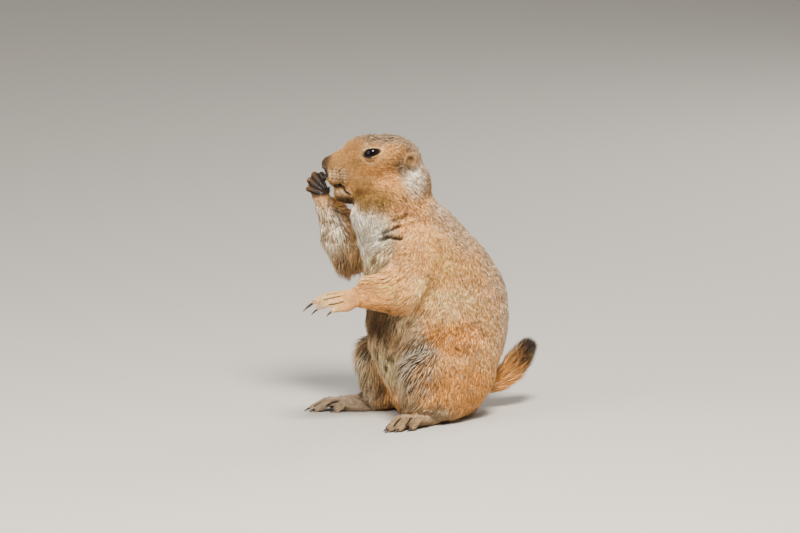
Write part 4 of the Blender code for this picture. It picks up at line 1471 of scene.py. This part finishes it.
@dataclass
class Coat:
    """The hair of the whole body: flat tufts that lie along the skin, in one piece for each area."""

    anatomy: Anatomy
    skin: bpy.types.Object
    dye: Dye
    bare: Bare
    cover: float = 3.2
    densest: float = 7.0
    budget: int = 225000
    seed: int = 5
    clumping: float = 0.45
    # How dark the root of each tuft is: painted shade deep in the coat.
    root_shade: float = 0.45
    pale_from: float = 0.3
    clearance: float = 0.25
    width_of_length: float = 0.05
    thinnest: float = 0.25
    widest: float = 0.66
    waist: float = 0.42
    coarse: float = 0.07

    def widths(self, length: np.ndarray) -> np.ndarray:
        """The width of a tuft of each length."""
        return np.clip(self.thinnest + (length - 1.4) * self.width_of_length, self.thinnest, self.widest)

    def grow(self) -> Roots:
        """Spreads roots over the skin, closer where the hair is short.

        Returns:
            All roots of the coat.
        """
        mesh = self.skin.data
        points, normals, faces = coordinates(mesh), outward(mesh), triangles(mesh)
        corners = points[faces]
        middle = corners.mean(axis=1)
        across, down = corners[:, 1] - corners[:, 0], corners[:, 2] - corners[:, 0]
        area = np.linalg.norm(np.cross(across, down), axis=1) / 2
        seen = self.anatomy.seen(middle)
        length = LENGTH.number(seen)
        density = np.minimum(self.cover / (0.5 * length * self.widths(length)), self.densest)
        naked = self.bare.at(seen, normals[faces].mean(axis=1))
        weight = area / MM**2 * density * (1 - naked) * (1 - TAIL_BARE.weight(seen))
        weight *= min(1.0, self.budget / weight.sum())
        cells = np.floor(middle / (3 * MM)).astype(np.int64)
        order = np.lexsort((cells[:, 0], cells[:, 1], cells[:, 2]))
        total = np.cumsum(weight[order])
        draw = np.random.default_rng(self.seed)
        marks = np.arange(int(total[-1])) + draw.uniform(0, 1, int(total[-1]))
        picked = order[np.minimum(np.searchsorted(total, marks), len(order) - 1)]
        first, second = draw.uniform(0, 1, (2, len(picked)))
        fold = first + second > 1
        first, second = np.where(fold, 1 - first, first), np.where(fold, 1 - second, second)
        share = np.column_stack((1 - first - second, first, second))[:, :, None]
        roots = (corners[picked] * share).sum(axis=1)
        return Roots(roots, unit((normals[faces[picked]] * share).sum(axis=1)), self.anatomy.seen(roots))

    def build(self) -> list[bpy.types.Object]:
        """Makes every piece of the coat.

        Returns:
            The pieces, one for each area.
        """
        roots = self.grow()
        body = roots.seen[Space.BODY]
        names = list(PIECES)
        anchors = np.array([PIECES[name][0] for name in names])
        owner = np.argmin(np.linalg.norm(body[:, None, :] - anchors[None], axis=2), axis=1)
        points, faces = self.coarse_skin()
        middle = self.anatomy.seen(points[faces].mean(axis=1))[Space.BODY]
        face_owner = np.argmin(np.linalg.norm(middle[:, None, :] - anchors[None], axis=2), axis=1)
        made = []
        for index, name in enumerate(names):
            mask = owner == index
            if not mask.any():
                continue
            sheet = Unwrap(points, faces[face_owner == index])
            part = roots.chosen(mask)
            piece = self.piece(name, part, sheet.places(part.points))
            finish = {Slot.BUFF: COAT_BUFF, Slot.CREAM: COAT_CREAM}[PIECES[name][1]]
            made.append(dress(piece, finish, PIECES[name][1]))
        return made

    def coarse_skin(self) -> tuple[np.ndarray, np.ndarray]:
        """A coarse copy of the skin for the unwrap.

        Returns:
            Its places and its triangles.
        """
        copy = new_object("coarse", self.skin.data.copy())
        thin = copy.modifiers.new("Thin", "DECIMATE")
        thin.ratio = self.coarse
        settle(copy)
        points, faces = coordinates(copy.data), triangles(copy.data)
        mesh = copy.data
        bpy.data.objects.remove(copy)
        bpy.data.meshes.remove(mesh)
        return points, faces

    def piece(self, name: str, roots: Roots, flat: np.ndarray) -> bpy.types.Object:
        """Makes the tufts of one area.

        Args:
            name: The piece's name.
            roots: Where its tufts grow.
            flat: The place of each root on the unwrap.

        Returns:
            One object that holds all of them.
        """
        count = len(roots.points)
        draw = np.random.default_rng(self.seed + count)
        seen, normal = roots.seen, roots.normals
        body = seen[Space.BODY]
        length = LENGTH.number(seen) * draw.uniform(0.75, 1.2, count)
        width = self.widths(length) * draw.uniform(0.8, 1.2, count)
        lie = Lie(self.anatomy).at(body, normal)
        side = np.cross(lie, normal)
        swing = 0.22 * noise(body, 9.0, 21) + 0.14 * noise(body, 3.0, 22) + draw.normal(0, 0.10, count)
        lie = unit(lie * np.cos(swing)[:, None] + side * np.sin(swing)[:, None])
        side = np.cross(lie, normal)
        lift = np.radians(LIFT.number(seen) * (1 + 0.35 * noise(body, 5.0, 23)) + draw.normal(0, 4.0, count))
        rise, fall = lift[:, None], (lift * 0.3)[:, None]
        start = lie * np.cos(rise) + normal * np.sin(rise)
        end = lie * np.cos(fall) + normal * np.sin(fall)
        reach = (length * MM)[:, None]
        half = (width * MM / 2)[:, None]
        root = roots.points - normal * (0.25 * MM)
        waist = root + start * reach * self.waist
        tip = waist + end * reach * (1 - self.waist)
        group, pull = self.wisps(seen, lie)
        tip = tip + pull * MM * np.minimum(length / 5, 1.3)[:, None]
        up = unit(np.cross(side, start))
        low = waist - up * half * 0.35
        points = np.stack((root, low - side * half, low + side * half, waist + up * half * 0.6, tip), axis=1)
        points[:, :, 2] = np.maximum(points[:, :, 2], self.clearance * MM)
        fan = np.array(((0, 2, 1), (0, 3, 2), (0, 1, 3), (4, 1, 2), (4, 2, 3), (4, 3, 1)))
        faces = (np.arange(count) * 5)[:, None, None] + fan[None]
        mesh = mesh_of(name, points.reshape(-1, 3), faces.reshape(-1, 3))
        middle = self.anatomy.seen((waist + tip) / 2)
        # Painted shade of the creases, and the whisker spots, at each tuft's root, waist and tip.
        places = (seen, self.anatomy.seen(waist), self.anatomy.seen(tip))
        shade = [1 - self.dye.shadow(part) for part in places]
        shade = np.stack((shade[0], shade[1], shade[1], shade[1], shade[2]), axis=1)
        paint(mesh, (self.colours(middle, group, draw) * shade[:, :, None]).reshape(-1, 3))
        shape = np.array(((0, -0.5), (-0.4, 0), (0.4, 0), (0, 0.15), (0, 0.5)))
        lay_flat(mesh, flat, shape, faces.reshape(-1))
        return new_object(name, mesh)

    def wisps(self, seen: Seen, lie: np.ndarray) -> tuple[np.ndarray, np.ndarray]:
        """Gathers the tufts into wisps, longer along the hair than across it.

        Args:
            seen: The roots, in both frames.
            lie: The heading of the hair at each root.

        Returns:
            The number of each tuft's wisp, and how far its tip is drawn to the wisp, in millimetres.
        """
        body = seen[Space.BODY]
        size = 2.0 ** (np.round(2 * np.log2(WISP.number(seen))) / 2)
        across = body + 0.8 * np.column_stack([noise(body, 5.0, seed) for seed in (31, 32, 33)])
        across = across / size[:, None] * np.array((1.0, 1.0, 0.45))
        cells = np.column_stack((np.floor(across).astype(np.int64), np.round(size * 10).astype(np.int64)))
        _, group = np.unique(cells, axis=0, return_inverse=True)
        group = group.ravel()
        count = np.bincount(group)
        middle = np.column_stack([np.bincount(group, body[:, axis]) / count for axis in range(3)])
        offset = middle[group] - body
        offset -= lie * np.sum(offset * lie, axis=1, keepdims=True)
        return group, offset * self.clumping

    def colours(self, seen: Seen, group: np.ndarray, draw: np.random.Generator) -> np.ndarray:
        """Colours of the five corners of each tuft, with painted shade at the root, and frosted on the back.

        Args:
            seen: The middle of each tuft, in both frames.
            group: The number of each tuft's wisp.
            draw: The source of chance.

        Returns:
            An array of tufts by corners by channels.
        """
        hair = self.dye.hair(seen)
        count = len(hair)
        grizzle = GRIZZLE.number(seen)
        mood = draw.normal(0, 1, group.max() + 1)[group]
        shade = 1 + draw.normal(0, 0.13, count) + mood * STREAK.number(seen)
        hair = hair * np.clip(shade, 0.25, 1.6)[:, None]
        chance = draw.uniform(0, 1, count) + 0.12 * mood
        tip = hair * 1.15
        limit = np.where(grizzle > self.pale_from, (grizzle - self.pale_from) * 0.5, -1.0)
        pale = (chance < limit)[:, None]
        dark = (chance > 0.91 - grizzle * 0.2)[:, None]
        white = np.array(Tone.WHITE.value) * 1.1
        frost = np.clip(0.3 + 0.6 * grizzle, 0.3, 0.85)[:, None]
        tip = np.where(pale, tip + (white - tip) * frost, np.where(dark, hair * 0.3, tip))
        waist = np.where(pale, hair + (white - hair) * 0.25, np.where(dark, hair * 0.5, hair))
        # The root corner is darkened as painted shade deep in the coat.
        return np.clip(np.stack((hair * self.root_shade, waist, waist, waist, tip), axis=1), 0.0, 1.0)


@dataclass
class Brush:
    """The tail's long hair, orange at the root of the tail and nearly black at its end."""

    anatomy: Anatomy
    path: tuple[Triple, ...] = ((0, 40, 17), (0, 46, 19.5), (0.4, 57, 26), (1, 66, 35), (1.6, 73, 43.5))
    radii: tuple[float, ...] = (4.4, 4.2, 3.6, 2.8, 1.2)
    count: int = 13000
    length: tuple[float, ...] = (12.0, 18.0, 20.0, 18.0, 14.0)
    spread: tuple[float, ...] = (30.0, 42.0, 46.0, 44.0, 36.0)
    dark_from: float = 22.0
    seed: int = 8
    rings: tuple[float, ...] = (0.28, 0.68)

    def build(self) -> bpy.types.Object:
        """Makes the brush as one piece of long tapered locks.

        Returns:
            The piece.
        """
        draw = np.random.default_rng(self.seed)
        steps = np.linspace(0, 1, len(self.path))
        t = draw.uniform(0, 1, self.count) ** 0.9
        path = np.array(self.path)
        centre = spots_along(path, steps, t)
        longer = np.vstack((path, path[-1] + (path[-1] - path[-2]) * 0.16))
        ahead = spots_along(longer, np.append(steps, 1.04), t + 0.04)
        way = unit(ahead - centre)
        first = unit(np.cross(way, (1.0, 0.2, 0.0)))
        second = np.cross(way, first)
        angle = draw.uniform(0, 2 * math.pi, self.count)
        out = first * np.cos(angle)[:, None] + second * np.sin(angle)[:, None]
        radius = np.interp(t, steps, self.radii) * draw.uniform(0.2, 1.0, self.count) ** 0.5
        spread = np.radians(np.interp(t, steps, self.spread) * draw.uniform(0.2, 1.25, self.count))[:, None]
        length = np.interp(t, steps, self.length) * draw.uniform(0.6, 1.12, self.count)
        start = way * np.cos(spread) + out * np.sin(spread)
        bend = unit(way + out * np.sin(spread) * 0.5 + draw.normal(0, 0.07, (self.count, 3)))
        side = unit(np.cross(start, out))
        up = np.cross(side, start)
        root = centre + out * radius[:, None]
        half = draw.uniform(0.16, 0.32, self.count)[:, None]
        sections = [root[:, None]]
        for share in self.rings:
            spot = root + start * (length * share)[:, None] + (bend - start) * (length * share**2)[:, None]
            size = half * (1.0 if share < 0.5 else 0.7)
            left = spot - side * size - up * size * 0.4
            right = spot + side * size - up * size * 0.4
            sections.append(np.stack((left, right, spot + up * size * 0.7), axis=1))
        tip = root + start * length[:, None] + (bend - start) * length[:, None]
        sections.append(tip[:, None])
        points = np.concatenate(sections, axis=1)
        fan = np.array((
            (0, 2, 1), (0, 3, 2), (0, 1, 3), (1, 2, 5), (1, 5, 4), (2, 3, 6),
            (2, 6, 5), (3, 1, 4), (3, 4, 6), (7, 4, 5), (7, 5, 6), (7, 6, 4),
        ))
        faces = (np.arange(self.count) * 8)[:, None, None] + fan[None]
        rows = self.anatomy.row(points.reshape(-1, 3))
        mesh = mesh_of("coat_tail", rows, faces.reshape(-1, 3))
        paint(mesh, self.colours(points, draw))
        flat = np.column_stack((0.06 + 0.88 * angle / (2 * math.pi), 0.06 + 0.88 * t))
        low, high = ((-0.4, -0.2), (0.4, -0.2), (0, -0.1)), ((-0.4, 0.2), (0.4, 0.2), (0, 0.3))
        lay_flat(mesh, flat, np.array(((0, -0.5), *low, *high, (0, 0.5))), faces.reshape(-1))
        return dress(new_object("coat_tail", mesh), COAT_TAIL, Slot.TAIL, "tail")

    def colours(self, points: np.ndarray, draw: np.random.Generator) -> np.ndarray:
        """Orange hair that turns nearly black over the outer half of the tail.

        Args:
            points: The corners of each lock, in millimetres of the body.
            draw: The source of chance.

        Returns:
            A colour for each corner.
        """
        orange, soot = np.array(Tone.CINNAMON.value) * 0.8, np.array(Tone.SOOT.value)
        base, end = np.array(self.path[1]), np.array(self.path[-1])
        way = unit(end - base)
        reach = (points - base) @ way
        edge = self.dark_from + draw.normal(0, 6.5, len(points))[:, None]
        dark = smooth_step((reach - edge) / 11.0)
        pale = draw.uniform(0, 1, len(points))[:, None, None]
        lit = np.where(pale < 0.2, np.array(Tone.PALE_BUFF.value), orange)
        colour = lit + (soot * np.where(pale < 0.06, 8.0, 1.0) - lit) * dark[:, :, None]
        along = np.array((0, 0.3, 0.3, 0.3, 0.7, 0.7, 0.7, 1.0))
        # Each lock is darker towards its root as painted shade inside the brush, with a random brightness
        # for each lock.
        shade = (0.65 + 0.45 * along)[None, :, None] * (1 + draw.normal(0, 0.14, len(points)))[:, None, None]
        return np.clip(colour * shade, 0.004, 1.0).reshape(-1, 3)


@dataclass
class Eyes:
    """The two eyeballs, smooth and dark."""

    anatomy: Anatomy
    rings: int = 32
    segments: int = 48

    def build(self) -> list[bpy.types.Object]:
        """Makes both eyes.

        Returns:
            The two eyeballs.
        """
        made = []
        for side in Side:
            opening = Opening(side)
            centre, look, _, _ = opening.axes()
            ball = bmesh.new()
            size = opening.ball * MM
            bmesh.ops.create_uvsphere(ball, u_segments=self.segments, v_segments=self.rings, radius=size)
            mesh = plain_mesh(ball, f"eyeball_{side.label}")
            way = self.anatomy.heading(look, Space.HEAD)
            shape = coordinates(mesh)
            facing = unit(shape) @ way
            move_to(mesh, shape + self.anatomy.row(centre, Space.HEAD)[0])
            angle = np.arccos(np.clip(facing, -1, 1)) / 1.2
            paint(mesh, np.repeat(np.clip(angle, 0, 1)[:, None], 3, axis=1))
            mesh.shade_smooth()
            made.append(dress(new_object(mesh.name, mesh), EyeFinish(), Slot.EYE, f"eye_{side.label}"))
        return made


@dataclass
class Claws:
    """The claws of one paw, smoothed from the solids."""

    paw: str
    side: Side
    digits: tuple[str, ...]

    def build(self) -> bpy.types.Object:
        """Makes the claws of the paw as one piece.

        Returns:
            The piece.
        """
        nodes = [f"claw_{digit}_{self.side.label}" for digit in self.digits]
        clay = bmesh.new()
        for node in nodes:
            merged_copy(clay, node)
        piece = new_object(f"claws_{self.paw}_{self.side.label}", plain_mesh(clay, "claws"))
        smooth = piece.modifiers.new("Round", "SUBSURF")
        smooth.levels = smooth.render_levels = 2
        settle(piece)
        piece.data.shade_smooth()
        points = coordinates(piece.data)
        streak = noise(points / MM * (1.0, 0.25, 1.0), 0.5, 51)
        colour = np.array(Tone.SOOT.value) * (1.3 + 0.5 * streak)[:, None]
        paint(piece.data, colour)
        return dress(piece, HORN, Slot.CLAW, *nodes)


@dataclass
class Bristles:
    """Whiskers on the muzzle, over the eyes and on the cheeks, each a fine tapered hair."""

    anatomy: Anatomy
    skin: bpy.types.Object
    seed: int = 12
    rows: int = 4
    columns: int = 6
    thickness: float = 0.2
    mean_length: float = 14.0
    bend: float = 0.16
    tip_share: float = 0.12
    sides: int = 5

    def roots(self) -> list[tuple[np.ndarray, np.ndarray, float]]:
        """Root, heading and length of each whisker, in millimetres of the head.

        Returns:
            One row for each whisker.
        """
        draw = np.random.default_rng(self.seed)
        made = []
        for side in Side:
            for row in range(self.rows):
                for column in range(self.columns):
                    back = column / (self.columns - 1)
                    across = side.value * (6.0 + 4.5 * back)
                    spot = np.array((across, -47.5 + 11 * back, -2.5 - 2.6 * row - 1.2 * back))
                    way = np.array((side.value * (0.75 + 0.2 * row), -0.25 + 0.75 * back, 0.75 - 0.42 * row))
                    way = unit(way + draw.normal(0, 0.10, 3))
                    made.append((spot, way, (9.0 + 13.0 * back) * draw.uniform(0.85, 1.15)))
            for step in range(4):
                spot = np.array((side.value * (12.5 + 0.5 * step), -18.0 + 2.2 * step, 17.5 + 0.5 * step))
                way = unit(np.array((side.value * 0.6, 0.2 + 0.1 * step, 1.0)) + draw.normal(0, 0.08, 3))
                made.append((spot, way, 9.0 * draw.uniform(0.8, 1.2)))
        return made

    def tree(self) -> bpy.types.NodeTree:
        """The node tree that stands a tapered hair on each root.

        Returns:
            The tree, with its sizes as named inputs.
        """
        tree = bpy.data.node_groups.new("bristle", "GeometryNodeTree")
        sockets = (("Thickness", "Float"), ("Bend", "Float"), ("Finish", "Material"))
        for name, kind in (("Geometry", "Geometry"), *sockets):
            tree.interface.new_socket(name, in_out="INPUT", socket_type=f"NodeSocket{kind}")
        tree.interface.new_socket("Geometry", in_out="OUTPUT", socket_type="NodeSocketGeometry")
        link = tree.links.new
        start, end = new_node(tree, "NodeGroupInput"), new_node(tree, "NodeGroupOutput")
        ends = {"Start": (0, 0, -0.03), "Middle": (0, 0, 0.5)}
        hair = new_node(tree, "GeometryNodeCurveQuadraticBezier", Resolution=7, **ends)
        bend = new_node(tree, "ShaderNodeCombineXYZ", Z=1.0)
        link(start.outputs["Bend"], bend.inputs["X"])
        link(bend.outputs["Vector"], hair.inputs["End"])
        run = new_node(tree, "GeometryNodeSplineParameter")
        taper = new_node(tree, "ShaderNodeMapRange", To_Min=1.0, To_Max=self.tip_share)
        link(run.outputs["Factor"], taper.inputs["Value"])
        round_hair = new_node(tree, "GeometryNodeSetCurveRadius")
        link(hair.outputs["Curve"], round_hair.inputs["Curve"])
        link(taper.outputs["Result"], round_hair.inputs["Radius"])
        ring = new_node(tree, "GeometryNodeCurvePrimitiveCircle", Resolution=self.sides)
        link(start.outputs["Thickness"], ring.inputs["Radius"])
        solid = new_node(tree, "GeometryNodeCurveToMesh", Fill_Caps=True)
        link(round_hair.outputs["Curve"], solid.inputs["Curve"])
        link(ring.outputs["Curve"], solid.inputs["Profile Curve"])
        if "Scale" in solid.inputs:
            link(taper.outputs["Result"], solid.inputs["Scale"])
        way = new_node(tree, "GeometryNodeInputNamedAttribute", Name="heading")
        way.data_type = "FLOAT_VECTOR"
        size = new_node(tree, "GeometryNodeInputNamedAttribute", Name="reach")
        size.data_type = "FLOAT"
        turn = new_node(tree, "FunctionNodeAlignRotationToVector")
        turn.axis = "Z"
        link(way.outputs["Attribute"], turn.inputs["Vector"])
        stand = new_node(tree, "GeometryNodeInstanceOnPoints")
        link(start.outputs["Geometry"], stand.inputs["Points"])
        link(solid.outputs["Mesh"], stand.inputs["Instance"])
        link(turn.outputs["Rotation"], stand.inputs["Rotation"])
        link(size.outputs["Attribute"], stand.inputs["Scale"])
        real = new_node(tree, "GeometryNodeRealizeInstances")
        link(stand.outputs["Instances"], real.inputs["Geometry"])
        dressed = new_node(tree, "GeometryNodeSetMaterial")
        link(real.outputs["Geometry"], dressed.inputs["Geometry"])
        link(start.outputs["Finish"], dressed.inputs["Material"])
        link(dressed.outputs["Geometry"], end.inputs["Geometry"])
        return tree

    def build(self) -> bpy.types.Object:
        """Makes all whiskers as one piece.

        Returns:
            The piece.
        """
        surface = surface_of(self.skin.data)
        spots, ways, sizes = [], [], []
        for spot, way, length in self.roots():
            place = Vector(self.anatomy.row(spot, Space.HEAD)[0])
            spots.append(surface.find_nearest(place)[0][:])
            ways.append(self.anatomy.heading(way, Space.HEAD))
            sizes.append(length * MM)
        mesh = bpy.data.meshes.new("whiskers")
        mesh.from_pydata(spots, [], [])
        mesh.attributes.new("heading", "FLOAT_VECTOR", "POINT").data.foreach_set("vector", np.ravel(ways))
        mesh.attributes.new("reach", "FLOAT", "POINT").data.foreach_set("value", np.array(sizes))
        piece = new_object("whiskers", mesh)
        nodes = piece.modifiers.new("Bristle", "NODES")
        nodes.node_group = self.tree()
        thickness = self.thickness / self.mean_length
        inputs = {"Thickness": thickness, "Bend": self.bend, "Finish": BRISTLE.material()}
        for item in nodes.node_group.interface.items_tree:
            if item.in_out == "INPUT" and item.name in inputs:
                nodes[item.identifier] = inputs[item.name]
        settle(piece)
        piece.data.shade_smooth()
        paint(piece.data, np.repeat(np.array([Tone.SOOT.value]), len(piece.data.vertices), axis=0) * 1.6)
        return dress(piece, BRISTLE, Slot.BUFF)


def split_nose(skin: bpy.types.Object, anatomy: Anatomy) -> bpy.types.Object:
    """Parts the bare leather of the nose from the skin, along its own edges.

    Args:
        skin: The skin's object, which is changed.
        anatomy: The animal's measures.

    Returns:
        The leather's object.
    """
    points, faces = coordinates(skin.data), triangles(skin.data)
    seen = anatomy.seen(points[faces].mean(axis=1))
    nose = NOSE_PAD.weight(seen) > 0.5
    colours = np.empty(len(points) * 4, np.float32)
    skin.data.color_attributes[HAIR].data.foreach_get("color", colours)
    colours = colours.reshape(-1, 4)[:, :3]
    normals = outward(skin.data)
    pieces = []
    for name, part in (("skin", faces[~nose]), ("nose_leather", faces[nose])):
        used, inverse = np.unique(part, return_inverse=True)
        mesh = mesh_of(name, points[used], inverse.reshape(-1, 3))
        mesh.normals_split_custom_set_from_vertices(normals[used])
        paint(mesh, colours[used])
        pieces.append(mesh)
    old = skin.data
    skin.data = pieces[0]
    bpy.data.meshes.remove(old)
    return new_object("nose_leather", pieces[1])


@dataclass(frozen=True)
class Lamp:
    """A soft square light, which stands to the right of the animal, above it and towards the camera."""

    name: str
    stand: Triple
    power: float
    size: float
    colour: Triple


LAMPS = (
    Lamp("key", (0.16, 0.85, 1.05), 62.0, 0.38, (1.0, 0.94, 0.84)),
    Lamp("fill", (-1.1, 0.4, 0.9), 18.0, 1.0, (1.0, 0.97, 0.93)),
    Lamp("rim", (0.9, 0.9, -1.0), 18.0, 0.8, (1.0, 0.97, 0.93)),
)


@dataclass
class Studio:
    """A plain pale floor, soft lights and the camera of the photograph."""

    anatomy: Anatomy
    azimuth: float = 65.0
    elevation: float = 10.0
    distance: float = 7.1
    width: float = 0.640
    sensor: float = 36.0
    lamp_distance: float = 1.1
    room_light: float = 0.42
    aim: tuple[float, float] = (-32.0, 117.2)

    def headings(self) -> tuple[Vector, Vector, Vector]:
        """Right, up and back of the camera.

        Returns:
            Three unit headings.
        """
        turn, rise = math.radians(self.azimuth), math.radians(self.elevation)
        right = Vector((math.cos(turn), math.sin(turn), 0))
        back = Vector((math.sin(turn) * math.cos(rise), -math.cos(turn) * math.cos(rise), math.sin(rise)))
        return right, back.cross(right), back

    def build(self) -> None:
        """Sets up the floor, the lights and the camera."""
        right, up, back = self.headings()
        target = (right * self.aim[0] + up * self.aim[1]) * MM + Vector(self.anatomy.shift) * MM
        lens = bpy.data.cameras.new("camera")
        lens.sensor_width = self.sensor
        lens.lens = self.sensor * self.distance / self.width
        lens.clip_start, lens.clip_end = 0.1, 60.0
        bpy.context.scene.camera = self.stand("camera", lens, target + back * self.distance, back)
        self.floor()
        for lamp in LAMPS:
            light = bpy.data.lights.new(lamp.name, "AREA")
            light.energy, light.size, light.color = lamp.power, lamp.size, lamp.colour
            way = right * lamp.stand[0] + up * lamp.stand[1] + back * lamp.stand[2]
            self.stand(lamp.name, light, target + way * self.lamp_distance, way)
        world = bpy.data.worlds.new("room")
        world.use_nodes = True
        sky = world.node_tree.nodes["Background"]
        sky.inputs["Color"].default_value = (1.0, 0.97, 0.92, 1.0)
        sky.inputs["Strength"].default_value = self.room_light
        bpy.context.scene.world = world

    def stand(self, name: str, data: bpy.types.ID, place: Vector, way: Vector) -> bpy.types.Object:
        """Stands a lamp or the camera somewhere.

        Args:
            name: Its name.
            data: The lamp or camera.
            place: Where it stands.
            way: The heading from what it faces to where it stands.

        Returns:
            Its object.
        """
        made = bpy.data.objects.new(name, data)
        made.location = place
        made.rotation_mode = "QUATERNION"
        made.rotation_quaternion = (-way).to_track_quat("-Z", "Y")
        bpy.context.scene.collection.objects.link(made)
        return made

    def floor(self) -> None:
        """Lays the plain floor."""
        clay = bmesh.new()
        bmesh.ops.create_grid(clay, x_segments=2, y_segments=2, size=15.0)
        floor = new_object("floor", plain_mesh(clay, "floor"))
        made, _ = blank_material("floor", Base_Color=(0.50, 0.475, 0.44, 1.0), Roughness=0.9)
        floor.data.materials.append(made)


def corners(box: tuple[Vector, Vector]) -> list[list[float]]:
    """A box as plain lists of numbers."""
    return [[float(x) for x in corner] for corner in box]


def main() -> None:
    """Dresses the animal and sets up the studio."""
    logging.basicConfig(level=logging.INFO, format="%(message)s", stream=sys.stdout)
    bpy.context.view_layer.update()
    anatomy = Anatomy.measured()
    LOG.info("shift %s", np.round(anatomy.shift, 2))
    Studio(anatomy).build()
    creases = Creases(anatomy)
    bare, dye = Bare(creases), Dye(anatomy, creases)
    builder = Skin(anatomy, creases)
    skin = builder.build()
    seen = anatomy.seen(coordinates(skin.data))
    paint(skin.data, dye.skin(seen, bare.at(seen, outward(skin.data))))
    Coat(anatomy, skin, dye, bare).build()
    Bristles(anatomy, skin).build()
    Brush(anatomy).build()
    Eyes(anatomy).build()
    nose = split_nose(skin, anatomy)
    flesh = [name for name in builder.flesh if name != "nose"]
    dress(skin, UNDERFUR, Slot.BUFF, *flesh)
    dress(nose, NOSE_LEATHER, Slot.NOSE, "nose")
    fingers = ("thumb", "finger_2", "finger_3", "finger_4", "finger_5")
    toes = ("toe_1", "toe_2", "toe_3", "toe_4", "toe_5")
    for side in Side:
        Claws("hand", side, fingers).build()
        Claws("foot", side, toes).build()


if __name__ == "__main__":
    main()
